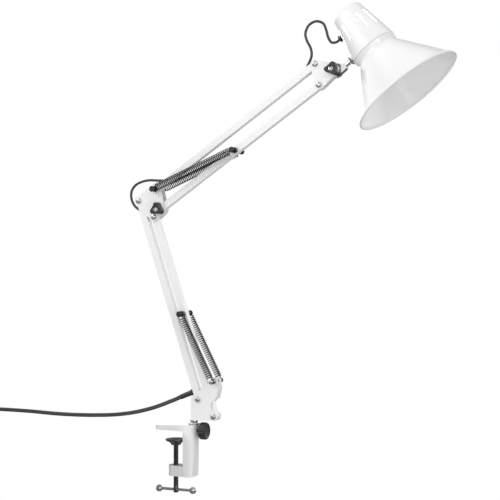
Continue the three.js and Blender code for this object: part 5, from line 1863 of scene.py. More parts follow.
@dataclass
class Elbow(SubAssembly):
    """The elbow bracket with its pins, its tension bolt and its knob."""

    edge: float = 6.4 * MM
    knob_edge: float = 9 * MM
    pin_edge: float = 8 * MM

    def build(self) -> None:
        """Makes the elbow's pieces."""
        self.fit(self.bracket(), "elbow", WHITE_PAINT, "elbow_bracket")
        self.fit(tension_bolt("elbow_bolt", UPPER_MAIN, 7.2 * MM), "elbow", PLATED, "elbow_tension_bolt")
        self.fit(
            LobedKnob().make("elbow_hand_knob", UPPER_MAIN, 90), "elbow_knob", BLACK_PLASTIC, "elbow_knob"
        )
        pin = SpringPin().make("elbow_hook_pin", UPPER_CABLE, 7.2 * MM)
        self.fit(pin, "elbow", GLOSS_BLACK, "elbow_spring_pin")

    def bracket(self) -> bpy.types.Object:
        """Makes the two plates and the web that joins them."""
        corners = [
            (ELBOW_FRONT, self.edge), (UPPER_MAIN, self.knob_edge), (UPPER_CABLE, self.pin_edge),
            (ELBOW_REAR, self.edge)
        ]
        screw, pin = 2.4 * MM, 2.6 * MM
        holes = [(ELBOW_REAR, screw), (ELBOW_FRONT, screw), (UPPER_MAIN, screw), (UPPER_CABLE, pin)]
        plates = folded_plates("elbow_bracket_plates", corners, holes)
        use_tool(plates, web_strip("web", corners[2], corners[3], (0.34, 0.8)), Cut.ONTO)
        return healed(soften(plates, 0.45 * MM, 3, 30))


@dataclass
class Head(SubAssembly):
    """The head bracket with its bolt, its knob, and the knuckle that carries the lamp rod."""

    edge: float = 6.4 * MM
    tilt_edge: float = 8 * MM

    def build(self) -> None:
        """Makes the head's pieces."""
        self.fit(self.bracket(), "head", WHITE_PAINT, "head_bracket")
        self.fit(tension_bolt("head_bolt", TILT, 8.7 * MM), "head", PLATED, "head_tension_bolt")
        self.fit(LobedKnob().make("head_hand_knob", TILT, 68), "head_knob", BLACK_PLASTIC, "head_knob")
        self.fit(self.disc(), "knuckle", PLATED, "knuckle_disc")
        self.fit(self.knuckle(), "knuckle", PLATED, "head_knuckle")

    def bracket(self) -> bpy.types.Object:
        """Makes the two plates and the web that joins them."""
        corners = [(HEAD_MAIN, self.edge), (TILT, self.tilt_edge), (HEAD_CABLE, self.edge)]
        holes = [(centre, 2.4 * MM) for centre, _ in corners]
        plates = folded_plates("head_bracket_plates", corners, holes)
        use_tool(plates, web_strip("web", corners[1], corners[2], (0.4, 0.68)), Cut.ONTO)
        return healed(soften(plates, 0.3 * MM, 2, 30))

    def disc(self) -> bpy.types.Object:
        """Makes the bright disc on the far side of the knuckle."""
        profile = [(2.4, 7.2), (9.9, 7.2), (10.5, 7.5), (10.5, 8.1), (9.9, 8.4), (2.4, 8.4)]
        return turned(
            "knuckle_washer", [(r * MM, h * MM) for r, h in profile], flat(TILT), ACROSS, 56, Ends.LOOPED
        )

    def knuckle(self) -> bpy.types.Object:
        """Makes the knuckle: a rounded block between the plates, bored for its bolt and for the rod."""
        rod = SHADE.rod_dir
        below = -SHADE.up
        circles = [
            (TILT + below * 6 * MM, 5 * MM), (TILT + below * 6 * MM + rod * 12 * MM, 4.6 * MM),
            (TILT, 7 * MM)
        ]
        block_piece = hulled("rod_knuckle", circles, -5 * MM, 5 * MM)
        axis = TILT + below * 6 * MM
        use_tool(block_piece, bar_round("bore", 3.3 * MM, axis, axis + rod * 30 * MM, 40))
        use_tool(block_piece, bar_round("bore", 2.3 * MM, flat(TILT, -8 * MM), flat(TILT, 8 * MM), 32))
        return soften(block_piece, 0.8 * MM, 3, 30)


# ------------------------------------------------------------------ shade


@dataclass(frozen=True)
class ShadeFrame:
    """The shade's own frame: its axis, the rod's direction and the cap's slope.

    Attributes:
        rim: The rim's centre.
        up: From the rim towards the cap.
        rod_dir: From the knuckle towards the shade's axis.
    """

    rim: Vector
    up: Vector
    rod_dir: Vector
    cap_base: float = 33.6 * MM
    cap_top: float = 22.6 * MM
    cap_from: float = 77 * MM
    cap_to: float = 137.5 * MM
    rod_height: float = 85 * MM
    gland_height: float = 119 * MM

    def at(self, x: float, height: float, y: float = 0.0) -> Vector:
        """Gives a point: x out along the rod's direction, and a height above the rim."""
        return self.rim + self.rod_dir * x + self.up * height + ACROSS * y

    def cap_radius(self, height: float) -> float:
        """Gives the cap's outside radius at a height above the rim."""
        share = (height - self.cap_from) / (self.cap_to - self.cap_from)
        return self.cap_base + (self.cap_top - self.cap_base) * share


def shade_frame() -> ShadeFrame:
    """Works out the shade's frame from the rod's joint and the tilt axis."""
    roll = next(j for j in frame["record"]["behaviour"]["joints"] if j["name"] == "shade_roll")
    rod_dir = Vector(roll["axis"]).normalized()
    up = Vector((-rod_dir.z, 0.0, rod_dir.x))
    rim = TILT + rod_dir * 60.6 * MM - up * (6 + 85) * MM
    return ShadeFrame(rim, up, rod_dir)


SHADE = shade_frame()


@dataclass
class Shade(SubAssembly):
    """The spun cone, the vented cap, the rod with its nuts and the gland for the lead."""

    rim_radius: float = 80 * MM
    neck: float = 32.2 * MM
    neck_height: float = 67 * MM
    wall: float = 1 * MM
    height: float = 142 * MM
    vents: int = 12

    def build(self) -> None:
        """Makes the shade's pieces."""
        self.fit(self.cone(), "shade", WHITE_PAINT, "shade_cone")
        self.fit(self.cap(), "shade", WHITE_PAINT, "shade_cap")
        self.fit(self.rod(), "shade", PLATED, "lamp_rod")
        wall = SHADE.cap_radius(SHADE.rod_height)
        outer = hexagon_nut(
            6 * MM, 2.6 * MM, 3.2 * MM, SHADE.at(-wall - 4.2 * MM, SHADE.rod_height), SHADE.rod_dir
        )
        inner = hexagon_nut(
            5 * MM, 2.6 * MM, 3.2 * MM, SHADE.at(-wall + 8.4 * MM, SHADE.rod_height), SHADE.rod_dir
        )
        self.fit(named(outer, "rod_lock_nut"), "shade", PLATED, "rod_nut_outer")
        self.fit(named(inner, "rod_inner_nut"), "shade", PLATED, "rod_nut_inner")
        self.fit(self.gland(), "shade", BLACK_PLASTIC, "cable_gland")

    def cone(self) -> bpy.types.Object:
        """Makes the spun cone: a rolled rim, a straight flare, a rounded neck and a collar inside the cap.

        Returns:
            The cone.
        """
        r, n, w, h = self.rim_radius, self.neck, self.wall, self.neck_height
        lip = 1.5 * MM
        profile = [
            (r - lip + lip * math.cos(math.radians(a)), lip + lip * math.sin(math.radians(a)))
            for a in range(-150, 61, 15)
        ]
        outside_foot = (r - 1.9 * MM, 4.2 * MM)
        profile += [outside_foot]
        for share in (0.25, 0.5, 0.75):
            x = outside_foot[0] + (n - outside_foot[0]) * share
            profile.append((x + 0.25 * MM, outside_foot[1] + (h - outside_foot[1]) * share))
        profile += [
            (n + 1.6 * MM, h - 2.1 * MM), (n + 0.55 * MM, h - 0.4 * MM), (n + 0.1 * MM, h + 1.4 * MM),
            (n + 0.5 * MM, h + 4.2 * MM), (SHADE.cap_base - 0.25 * MM, 75.6 * MM),
            (SHADE.cap_base, 76.3 * MM), (SHADE.cap_base - 0.4 * MM, 76.7 * MM), (32.3 * MM, 76.8 * MM),
            (SHADE.cap_radius(86 * MM) - 1.4 * MM, 85.9 * MM),
            (SHADE.cap_radius(86 * MM) - 2.3 * MM, 85.9 * MM), (31.3 * MM, 75.8 * MM), (n - w, h + 2 * MM),
            (n - w + 0.5 * MM, h - 0.9 * MM), (n - w + 2 * MM, h - 3.6 * MM), (r - 4.2 * MM, 4.6 * MM),
            (r - 3.2 * MM, 3.2 * MM)
        ]
        cone = turned("shade_flare", profile, SHADE.rim, SHADE.up, 128, Ends.LOOPED)
        self.bore_for_rod(cone)
        return shade(cone, 35)

    def bore_for_rod(self, piece: bpy.types.Object) -> None:
        """Bores the rod's hole through one side of a piece of the shade."""
        start, end = SHADE.at(-40 * MM, SHADE.rod_height), SHADE.at(-20 * MM, SHADE.rod_height)
        use_tool(piece, bar_round("hole", 3.4 * MM, start, end, 36))

    def cap(self) -> bpy.types.Object:
        """Makes the cap: tapered, round at its top edge, with a ring of tall vent slots.

        Returns:
            The cap.
        """
        base, top, w, edge = SHADE.cap_base, SHADE.cap_top, self.wall, 4.5 * MM
        from_h, to_h = SHADE.cap_from, SHADE.cap_to
        arc = [math.radians(a) for a in range(15, 91, 15)]
        profile = [(base - w, from_h), (base - 0.3 * MM, from_h), (base, from_h + 0.4 * MM)]
        profile += [(SHADE.cap_radius(from_h + s * MM), from_h + s * MM) for s in (1.2, 20, 40)]
        profile += [(top, to_h)]
        profile += [(top - edge * (1 - math.cos(a)), to_h + edge * math.sin(a)) for a in arc]
        profile += [(top * 0.4, to_h + edge), (0.2 * MM, to_h + edge)]
        profile += [(0.2 * MM, to_h + edge - w), (top - edge, to_h + edge - w), (top - w, to_h)]
        cap = turned("shade_cap_cover", profile, SHADE.rim, SHADE.up, 128, Ends.LOOPED)
        self.bore_for_rod(cap)
        gland = bar_round(
            "hole", 3.2 * MM, SHADE.at(-40 * MM, SHADE.gland_height),
            SHADE.at(-10 * MM, SHADE.gland_height), 32
        )
        use_tool(cap, gland)
        for i in range(self.vents):
            if i != self.vents // 2:
                use_tool(cap, self.vent(math.tau * i / self.vents))
        tidy(cap)
        return shade(cap, 35)

    def vent(self, turn: float) -> bpy.types.Object:
        """Makes the tool for one vent: a tall slot with round ends, straight out from the axis."""
        half = 1.2 * MM
        out = SHADE.rod_dir * math.cos(turn) + ACROSS * math.sin(turn)
        low, high = 99 * MM + half, 125 * MM - half
        ends = [
            bar_round("vent_end", half, SHADE.at(0, h) + out * 14 * MM, SHADE.at(0, h) + out * 40 * MM, 20)
            for h in (low, high)
        ]
        slot = joined("vent_tool", *ends)
        with editing(slot):
            bpy.ops.mesh.select_all(action="SELECT")
            bpy.ops.mesh.convex_hull()
        return tidy(slot)

    def rod(self) -> bpy.types.Object:
        """Makes the tube that carries the shade."""
        length = 39.8 * MM
        foot = TILT - SHADE.up * 6 * MM + SHADE.rod_dir * 0.3 * MM
        r = 3 * MM
        profile = [(1.9 * MM, 0), (r - 0.3 * MM, 0), (r, 0.4 * MM), (r, 24 * MM)]
        z = 24.4 * MM
        while z < length - 1.6 * MM:
            profile += [(r - 0.25 * MM, z), (r, z + 0.4 * MM), (r, z + 0.6 * MM)]
            z += MM
        profile += [(r - 0.3 * MM, length), (1.9 * MM, length)]
        return turned("shade_rod", profile, foot, SHADE.rod_dir, 36, Ends.LOOPED)

    def gland(self) -> bpy.types.Object:
        """Makes the gland: a stepped flange outside the cap, a neck through it and a snap ring inside."""
        wall = SHADE.cap_radius(SHADE.gland_height)
        profile = [
            (2.1, -6), (3.5, -6), (3.8, -5.4), (3.8, -2.8), (2.9, -2.8), (2.9, 1.4), (4.3, 1.4), (4.6, 1.8),
            (4.6, 3.4), (4.2, 4), (3.3, 4.4), (2.1, 4.4)
        ]
        return turned(
            "lead_gland", [(r * MM, h * MM) for r, h in profile], SHADE.at(-wall, SHADE.gland_height),
            -SHADE.rod_dir, 36, Ends.LOOPED
        )


@dataclass
class LampHolder(SubAssembly):
    """The glazed holder for the bulb, its threaded shell and the strap that hangs it on the rod."""

    radius: float = 18 * MM
    inner: float = 15.8 * MM
    rim: float = 58 * MM
    top: float = 106 * MM

    def build(self) -> None:
        """Makes the holder's pieces."""
        self.fit(self.body(), "shade", GLAZE, "lamp_holder")
        self.fit(self.shell(), "shade", BRASS, "holder_thread")
        self.fit(self.strap(), "shade", PLATED, "holder_strap")

    def body(self) -> bpy.types.Object:
        """Makes the holder's body, ribbed round its skirt and tapered to its closed end."""
        r, i = self.radius, self.inner
        profile = [
            (i, self.rim + 0.4 * MM), (i + 0.5 * MM, self.rim), (r - 0.6 * MM, self.rim),
            (r, self.rim + 0.7 * MM)
        ]
        h = self.rim + 3 * MM
        while h < self.top - 14 * MM:
            profile += [(r, h), (r - 0.5 * MM, h + 0.5 * MM), (r - 0.5 * MM, h + 1.2 * MM), (r, h + 1.7 * MM)]
            h += 3.2 * MM
        profile += [
            (r, self.top - 9 * MM), (r - 0.4 * MM, self.top - 7.6 * MM),
            (r - 4.2 * MM, self.top - 1.2 * MM), (r - 5.2 * MM, self.top - 0.2 * MM),
            (r - 6.4 * MM, self.top), (0.2 * MM, self.top), (0.2 * MM, self.top - 14 * MM),
            (i - 0.6 * MM, self.top - 14 * MM), (i, self.top - 14.6 * MM)
        ]
        return turned("bulb_holder", profile, SHADE.rim, SHADE.up, 72, Ends.LOOPED)

    def shell(self) -> bpy.types.Object:
        """Makes the threaded shell, its rolled thread and the sprung contact at its bottom."""
        top = self.top - 14.3 * MM
        low = top - 26 * MM
        outside, inside = [], []
        h = low + 0.8 * MM
        while h < top - 4 * MM:
            for offset, depth in ((0, 0), (0.9, -0.75), (1.8, -1), (2.7, -0.25)):
                outside.append((15 * MM + depth * MM, h + offset * MM))
                inside.append((14.3 * MM + depth * MM, h + offset * MM))
            h += 3.6 * MM
        profile = [
            (14.7 * MM, low), (15 * MM, low + 0.4 * MM), *outside, (15 * MM, top - 0.4 * MM),
            (14.6 * MM, top)
        ]
        profile += [(3 * MM, top), (3 * MM, top - 0.8 * MM), (14 * MM, top - 0.8 * MM), *reversed(inside)]
        profile += [(14.3 * MM, low + 0.3 * MM)]
        shell = turned("threaded_shell", profile, SHADE.rim, SHADE.up, 64, Ends.LOOPED)
        tongue = turned(
            "contact", [(2.6 * MM, 0), (2.6 * MM, -0.8 * MM), (2.1 * MM, -2 * MM), (0.8 * MM, -2.3 * MM)],
            SHADE.at(0, top - 0.1 * MM), SHADE.up, 32
        )
        return joined("threaded_shell", shell, tongue)

    def strap(self) -> bpy.types.Object:
        """Makes the bent strap from the rod over the holder's closed end."""
        wall = SHADE.cap_radius(SHADE.rod_height)
        x, low, high, thick = -wall + 6.6 * MM, 78 * MM, self.top + 1.8 * MM, 1.5 * MM
        outer, inner = 3.2 * MM, 1.7 * MM
        outline = [(x, low), (x + thick, low)]
        corner = (x + outer, high - outer)
        for i in range(7):
            a = math.radians(180 - 90 * i / 6)
            outline.append((corner[0] + inner * math.cos(a), corner[1] + inner * math.sin(a)))
        outline += [(6 * MM, high - thick), (6 * MM, high)]
        for i in range(7):
            a = math.radians(90 + 90 * i / 6)
            outline.append((corner[0] + outer * math.cos(a), corner[1] + outer * math.sin(a)))
        strap = side_slab("holder_hanger", outline, -6 * MM, 6 * MM)
        use_tool(
            strap,
            bar_round("hole", 3.3 * MM, Vector((x - MM, 0, 85 * MM)), Vector((x + 3 * MM, 0, 85 * MM)), 36)
        )
        soften(strap, 0.3 * MM, 2, 30)
        strap.matrix_world = Matrix.Translation(SHADE.rim) @ Matrix.Rotation(
            -math.radians(climb(SHADE.rod_dir)), 4, "Y"
        )
        return settle(strap)


# ------------------------------------------------------------------ switch and plug


@dataclass
class InlineSwitch(SubAssembly):
    """The switch on the mains cord: a rounded housing with an oval rocker and a sleeve at each end."""

    centre: Vector = field(default_factory=lambda: Vector((-368, -22, 0)) * MM)
    length: float = 64 * MM
    width: float = 28 * MM
    height: float = 19 * MM
    rocker_length: float = 21 * MM
    rocker_width: float = 15 * MM

    def build(self) -> None:
        """Makes the switch's pieces."""
        self.fit(self.housing(), "clamp", BLACK_PLASTIC, "switch_housing")
        self.fit(self.rocker(), "rocker", GLOSS_BLACK, "switch_rocker")

    def housing(self) -> bpy.types.Object:
        """Makes the two half shells, with the seam between them and the pocket for the rocker."""
        low = self.centre - Vector((self.length / 2, self.width / 2, 0))
        high = self.centre + Vector((self.length / 2, self.width / 2, self.height))
        shell = block("switch_case", low, high)
        with editing(shell) as mesh:
            pick_edges(mesh, lambda e: abs(e.verts[0].co.z - e.verts[1].co.z) > 1e-6)
            bpy.ops.mesh.bevel(offset=4 * MM, segments=6, affect="EDGES")
        with editing(shell) as mesh:
            pick_edges(
                mesh, lambda e: all(v.co.z > high.z - 1e-6 for v in e.verts) and len(e.link_faces) == 2
                and any(abs(f.normal.z) < 0.5 for f in e.link_faces)
            )
            bpy.ops.mesh.bevel(offset=1.8 * MM, segments=4, affect="EDGES")
        with editing(shell) as mesh:
            pick_edges(
                mesh, lambda e: all(v.co.z < low.z + 1e-6 for v in e.verts)
                and any(abs(f.normal.z) < 0.5 for f in e.link_faces)
            )
            bpy.ops.mesh.bevel(offset=1.2 * MM, segments=3, affect="EDGES")
        seam_z = 7.2 * MM
        seam = block(
            "seam", low + UP * seam_z - Vector((MM, MM, 0)),
            Vector((high.x + MM, high.y + MM, seam_z + 0.5 * MM))
        )
        core = block("core", low + Vector((0.6, 0.6, -1)) * MM, high - Vector((0.6, 0.6, -1)) * MM)
        with editing(core) as mesh:
            pick_edges(mesh, lambda e: abs(e.verts[0].co.z - e.verts[1].co.z) > 1e-6)
            bpy.ops.mesh.bevel(offset=3.6 * MM, segments=6, affect="EDGES")
        use_tool(seam, core)
        use_tool(shell, seam)
        pocket = oval_block(
            "pocket", self.centre, self.rocker_length + 1.4 * MM, self.rocker_width + 1.4 * MM, 11.5 * MM,
            21 * MM
        )
        use_tool(shell, pocket)
        frame_ring = oval_block(
            "rim", self.centre, self.rocker_length + 5 * MM, self.rocker_width + 5 * MM, 18.2 * MM,
            19.6 * MM
        )
        hollow = oval_block(
            "hollow", self.centre, self.rocker_length + 1.4 * MM, self.rocker_width + 1.4 * MM, 17 * MM,
            21 * MM
        )
        use_tool(frame_ring, hollow)
        use_tool(shell, frame_ring, Cut.ONTO)
        tidy(shell)
        shade(shell, 35)
        sleeves = []
        for end in (-1, 1):
            foot = self.centre + Vector((end * (self.length / 2 - MM), 0, 6 * MM))
            profile = [(5.6, 0), (5.6, 1.4), (5.2, 1.9), (4.4, 1.95)]
            sleeve = turned("sleeve", [(r * MM, h * MM) for r, h in profile], foot, OUT * end, 32)
            sleeves.append(sleeve)
        return joined("switch_case", shell, *sleeves)

    def rocker(self) -> bpy.types.Object:
        """Makes the domed rocker, with a shallow mark at one end."""
        top = self.height + 2.4 * MM
        blank = oval_block(
            "switch_key", self.centre, self.rocker_length, self.rocker_width, 14.5 * MM, top + 3 * MM
        )
        centre = flat(self.centre, self.centre.y)
        crown = bar_round(
            "crown", 34 * MM, Vector((centre.x, centre.y - 12 * MM, top - 34 * MM)),
            Vector((centre.x, centre.y + 12 * MM, top - 34 * MM)), 200
        )
        apply_modifier(blank, "BOOLEAN", operation="INTERSECT", solver="EXACT", object=crown)
        bpy.data.objects.remove(crown)
        for step in (4.6, 5.9, 7.2):
            x = centre.x + step * MM
            rib = block(
                "rib", (x - 0.3 * MM, centre.y - 3.4 * MM, top - 1.7 * MM),
                (x + 0.3 * MM, centre.y + 3.4 * MM, top + MM)
            )
            use_tool(blank, rib)
        return soften(blank, 0.5 * MM, 3, 40)


def oval_block(
    name: str, centre: Vector, length: float, width: float, low: float, high: float
) -> bpy.types.Object:
    """Makes an upright block with an oval plan, long in X."""
    reach = (length - width) / 2
    ends = [Vector((centre.x + side * reach, 0, -centre.y)) for side in (-1, 1)]
    piece = hulled(name, [(end, width / 2) for end in ends], low, high)
    piece.rotation_euler = (math.pi / 2, 0, 0)
    return settle(piece)


@dataclass
class Plug(SubAssembly):
    """The flat two-pin plug with its ribbed strain relief."""

    tip: Vector = field(default_factory=lambda: Vector((-334, -70, 7.6)) * MM)

    def build(self) -> None:
        """Makes the plug's pieces."""
        self.fit(self.body(), "clamp", BLACK_PLASTIC, "plug_body")
        for name, y in (("left", 9.3), ("right", -9.3)):
            self.fit(self.pin(f"plug_prong_{name}", y * MM), "clamp", PLATED, f"plug_pin_{name}")
            self.fit(self.sleeve(f"plug_sleeve_{name}", y * MM), "clamp", BLACK_PLASTIC)

    def body(self) -> bpy.types.Object:
        """Makes the body, its flange and the relief.

        Returns:
            The body.
        """
        rings = []
        for x, wide, thick in (
            (21, 5.4, 5.2), (24, 6.6, 5.6), (28, 9, 5.9), (33, 12.4, 6.1), (38, 14.6, 6.2), (44, 15.4, 6.2),
            (51, 15.5, 6.2)
        ):
            rings.append((wide * MM, thick * MM, x * MM))
        body = rounded_loft("plug_moulding", rings, self.tip, -OUT)
        flange = block(
            "flange", self.tip + Vector((-57 * MM, -18 * MM, -7.3 * MM)),
            self.tip + Vector((-51 * MM, 18 * MM, 7.3 * MM))
        )
        with editing(flange) as mesh:
            pick_edges(mesh, lambda e: abs(e.verts[0].co.x - e.verts[1].co.x) > 1e-6)
            bpy.ops.mesh.bevel(offset=5.4 * MM, segments=6, affect="EDGES")
        soften(flange, 0.9 * MM, 3, 40)
        use_tool(body, flange, Cut.ONTO)
        for y in (-9.3, 9.3):
            start = self.tip + Vector((-51.1, y, 0)) * MM
            use_tool(body, bar_round("socket", 2.3 * MM, start, start - OUT * 8 * MM, 28))
        tidy(body)
        shade(body, 35)
        profile = [(3.3, 0.4), (3.8, 0)]
        x = 0.8
        while x < 20:
            r = 3.8 + 1.7 * x / 21
            profile += [(r, x), (r, x + 1.3), (r - 0.7, x + 1.5), (r - 0.7, x + 2.3)]
            x += 2.6
        profile += [(5.4, 21), (5.4, 23)]
        relief = turned("relief", [(r * MM, h * MM) for r, h in profile], self.tip, -OUT, 36)
        return joined("plug_moulding", body, relief)

    def pin(self, name: str, y: float) -> bpy.types.Object:
        """Makes one bright pin, round at its end."""
        profile = [(1.95, 0), (1.95, 23.2), (1.7, 24.1), (1.1, 24.6), (0.3, 24.7)]
        return turned(
            name, [(r * MM, h * MM) for r, h in profile], self.tip + Vector((-51.3 * MM, y, 0)), -OUT, 28
        )

    def sleeve(self, name: str, y: float) -> bpy.types.Object:
        """Makes the sleeve over the first half of a pin."""
        profile = [(1.98, 0), (2.25, 0), (2.25, 9.6), (2.1, 10), (1.98, 10)]
        foot = self.tip + Vector((-57.02 * MM, y, 0))
        return turned(name, [(r * MM, h * MM) for r, h in profile], foot, -OUT, 28, Ends.LOOPED)


def rounded_loft(
    name: str, rings: Sequence[tuple[float, float, float]], foot: Vector, axis: Vector
) -> bpy.types.Object:
    """Draws a rounded rectangle out from one section to the next along a level axis.

    Args:
        name: The piece's name.
        rings: Each section's half width, half thickness and distance from the foot.
        foot: Where the distance is 0.
        axis: Where the distances point, level.

    Returns:
        The piece, closed at both ends.
    """
    side = UP.cross(axis).normalized()
    count = 40
    points = []
    for wide, thick, far in rings:
        for i in range(count):
            a = math.tau * i / count
            c, s = math.cos(a), math.sin(a)
            power = 0.42
            x = math.copysign(abs(c) ** power, c) * wide
            z = math.copysign(abs(s) ** power, s) * thick
            points.append(foot + axis * far + side * x + UP * z)
    faces = [
        (i * count + j, i * count + (j + 1) % count, (i + 1) * count + (j + 1) % count, (i + 1) * count + j)
        for i in range(len(rings) - 1) for j in range(count)
    ]
    faces += [tuple(reversed(range(count))), tuple(range((len(rings) - 1) * count, len(rings) * count))]
    mesh = bpy.data.meshes.new(name)
    mesh.from_pydata(points, [], faces)
    piece = bpy.data.objects.new(name, mesh)
    bpy.context.collection.objects.link(piece)
    with editing(piece):
        bpy.ops.mesh.select_all(action="SELECT")
        bpy.ops.mesh.normals_make_consistent(inside=False)
    return piece


# ------------------------------------------------------------------ hardware on the pivots


@dataclass
class PivotScrews(SubAssembly):
    """The six pan-head screws: one is modelled and the others are copies of it."""

    def build(self) -> None:
        """Makes the screws and puts one on each pivot."""
        kit = PivotScrew()
        model = kit.model()
        for node, body, centre in (
            ("base_rear_screw", "base", LOWER_PIVOT), ("base_front_screw", "base", LOWER_FRONT),
            ("elbow_rear_screw", "elbow", ELBOW_REAR), ("elbow_front_screw", "elbow", ELBOW_FRONT),
            ("head_upper_screw", "head", HEAD_CABLE), ("head_lower_screw", "head", HEAD_MAIN)
        ):
            screw = kit.put(model, node.replace("screw", "pan_screw"), flat(centre))
            self.fit(screw, body, PLATED, node)
        bpy.data.objects.remove(model)


# ------------------------------------------------------------------ studio


@dataclass
class Studio:
    """The camera, the lights and the desk top under the jaw.

    Attributes:
        azimuth: The camera's angle from -Y towards +X, in degrees.
        target: What the camera looks at.
        distance: The camera's distance from it.
        lens: The camera's focal length.
    """

    azimuth: float = 22.0
    target: Vector = field(default_factory=lambda: Vector((0.1144, 0.0, 0.257)))
    distance: float = 1.792
    lens: float = 92.16

    def camera(self) -> None:
        """Makes the camera."""
        a = math.radians(self.azimuth)
        spot = self.target + Vector((math.sin(a), -math.cos(a), 0.0)) * self.distance
        data = bpy.data.cameras.new("camera")
        data.lens = self.lens
        data.sensor_width = 36
        data.clip_start = 0.05
        camera = bpy.data.objects.new("camera", data)
        camera.location = spot
        camera.rotation_euler = (self.target - spot).to_track_quat("-Z", "Y").to_euler()
        bpy.context.scene.collection.objects.link(camera)
        bpy.context.scene.camera = camera

    def light(self) -> None:
        """Makes the soft sky, the soft boxes that the gloss reflects, and a small light inside the cap."""
        world = bpy.data.worlds.new("studio")
        bpy.context.scene.world = world
        world.use_nodes = True
        tree = world.node_tree
        tree.nodes.clear()
        seen, soft, gloss = (add_node(tree, "ShaderNodeBackground") for _ in range(3))
        seen.inputs["Color"].default_value = (1, 1, 1, 1)
        seen.inputs["Strength"].default_value = 1.0
        soft.inputs["Color"].default_value = (1, 1, 1, 1)
        soft.inputs["Strength"].default_value = 0.78
        gloss.inputs["Strength"].default_value = 1.35
        self.mirrored_room(tree, gloss)
        path = add_node(tree, "ShaderNodeLightPath")
        mirror, mix = add_node(tree, "ShaderNodeMixShader"), add_node(tree, "ShaderNodeMixShader")
        out = add_node(tree, "ShaderNodeOutputWorld")
        tree.links.new(path.outputs["Is Glossy Ray"], mirror.inputs["Fac"])
        tree.links.new(soft.outputs[0], mirror.inputs[1])
        tree.links.new(gloss.outputs[0], mirror.inputs[2])
        tree.links.new(path.outputs["Is Camera Ray"], mix.inputs["Fac"])
        tree.links.new(mirror.outputs[0], mix.inputs[1])
        tree.links.new(seen.outputs[0], mix.inputs[2])
        tree.links.new(mix.outputs[0], out.inputs["Surface"])
        self.box("key_box", Vector((-1.1, -1.3, 1.5)), Vector((0.1, 0, 0.3)), (0.9, 0.9), 14)
        self.box("right_box", Vector((1.0, -1.1, 1.15)), Vector((0.33, 0, 0.5)), (0.2, 0.16), 1.2)
        self.box("front_box", Vector((0.05, -1.6, 0.75)), Vector((0.33, 0, 0.5)), (0.16, 0.3), 1.2)
        glow = bpy.data.objects.new("cap_glow", bpy.data.lights.new("cap_glow", "POINT"))
        glow.data.energy, glow.data.shadow_soft_size = 0.12, 8 * MM
        glow.location = SHADE.at(0.0, SHADE.gland_height + 8 * MM) + ACROSS * -20 * MM
        bpy.context.scene.collection.objects.link(glow)
        self.box("low_box", Vector((1.1, -0.9, -0.1)), Vector((0.33, 0, 0.5)), (0.7, 0.7), 1.2)
        scene = bpy.context.scene
        scene.view_settings.view_transform = "Standard"
        scene.view_settings.look = "None"

    def mirrored_room(self, tree: bpy.types.NodeTree, gloss: bpy.types.Node) -> None:
        """Gives the room that bright metal mirrors: pale walls between a dark floor and a dark ceiling.

        Args:
            tree: The world's tree.
            gloss: The background that glossy rays see.
        """
        place_of = add_node(tree, "ShaderNodeTexCoord")
        split = add_node(tree, "ShaderNodeSeparateXYZ")
        share = add_node(tree, "ShaderNodeMapRange")
        share.inputs["From Min"].default_value = -1
        ramp = add_node(tree, "ShaderNodeValToRGB")
        stops = ramp.color_ramp.elements
        stops[0].position, stops[1].position = 0.0, 1.0
        stops[0].color, stops[1].color = (0.3, 0.3, 0.3, 1), (0.75, 0.75, 0.75, 1)
        for spot, tone in ((0.3, 0.07), (0.46, 0.2), (0.51, 1.0), (0.68, 0.95), (0.8, 0.22)):
            stops.new(spot).color = (tone, tone, tone, 1)
        tree.links.new(place_of.outputs["Generated"], split.inputs["Vector"])
        tree.links.new(split.outputs["Z"], share.inputs["Value"])
        tree.links.new(share.outputs["Result"], ramp.inputs["Fac"])
        tree.links.new(ramp.outputs["Color"], gloss.inputs["Color"])

    def box(self, name: str, spot: Vector, target: Vector, sides: tuple[float, float], power: float) -> None:
        """Makes one soft box.

        Args:
            name: Its name.
            spot: Where it stands.
            target: What it faces.
            sides: Its width and height.
            power: Its power in watts.
        """
        data = bpy.data.lights.new(name, "AREA")
        data.shape = "RECTANGLE"
        data.size, data.size_y = sides
        data.energy = power
        lamp = bpy.data.objects.new(name, data)
        lamp.location = spot
        lamp.rotation_euler = (target - spot).to_track_quat("-Z", "Y").to_euler()
        bpy.context.scene.collection.objects.link(lamp)

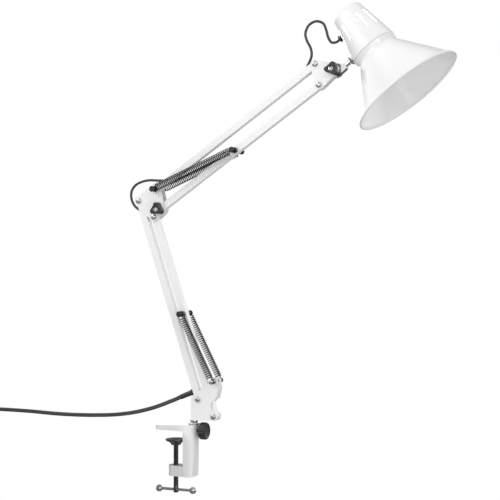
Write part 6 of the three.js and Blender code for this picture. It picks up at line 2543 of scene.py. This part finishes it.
    def desk(self) -> None:
        """Makes the pale desk top, which ends inside the clamp's throat."""
        bpy.ops.object.select_all(action="DESELECT")
        bpy.ops.mesh.primitive_plane_add(size=1, location=(-1.4835, 0, 0), scale=(3, 6, 1))
        top = named(bpy.context.object, "desk_top")
        top.location = (0.0165 - 1.5, 0, -0.0001)
        top.scale = (3, 6, 1)
        settle(top)
        material = bpy.data.materials.new("desk_white")
        material.use_nodes = True
        tree = material.node_tree
        shader = tree.nodes["Principled BSDF"]
        shader.inputs["Base Color"].default_value = (0.35, 0.35, 0.35, 1)
        shader.inputs["Roughness"].default_value = 0.9
        shader.inputs["Specular IOR Level"].default_value = 0.0
        white, mix, path = (
            add_node(tree, f"ShaderNode{kind}") for kind in ("Emission", "MixShader", "LightPath")
        )
        tree.links.new(path.outputs["Is Camera Ray"], mix.inputs["Fac"])
        tree.links.new(shader.outputs["BSDF"], mix.inputs[1])
        tree.links.new(white.outputs["Emission"], mix.inputs[2])
        tree.links.new(mix.outputs["Shader"], tree.nodes["Material Output"].inputs["Surface"])
        top.data.materials.append(material)


# ------------------------------------------------------------------ assembly


def main() -> None:
    """Builds the studio and the lamp, sub-assembly by sub-assembly."""
    logging.basicConfig(level=logging.INFO, format="%(name)s: %(message)s")
    studio = Studio()
    studio.camera()
    cords = Cords()
    cords.build()
    switch, plug = InlineSwitch(), Plug()
    for part in (switch, plug):
        part.build()
    cords.declare(switch.pieces, plug.pieces)
    parts: list[SubAssembly] = [
        Clamp(), SwivelBase(), LowerArm(), Elbow(), UpperArm(), Head(), Shade(), LampHolder(),
        PivotScrews(),
        SpringPair("lower", LOWER_PIN, EAR, ("lower_front", "base"), 5.1 * MM, 0.78 * MM, 3.1 * MM),
        SpringPair("upper", UPPER_CABLE, UPPER_PIN, ("elbow", "upper_main"), 5.5 * MM, 0.66 * MM, 2.84 * MM)
    ]
    for part in parts:
        part.build()
        log.info("%s: %d pieces", type(part).__name__, len(part.pieces))
    studio.light()
    studio.desk()
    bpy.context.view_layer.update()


if __name__ == "__main__":
    main()
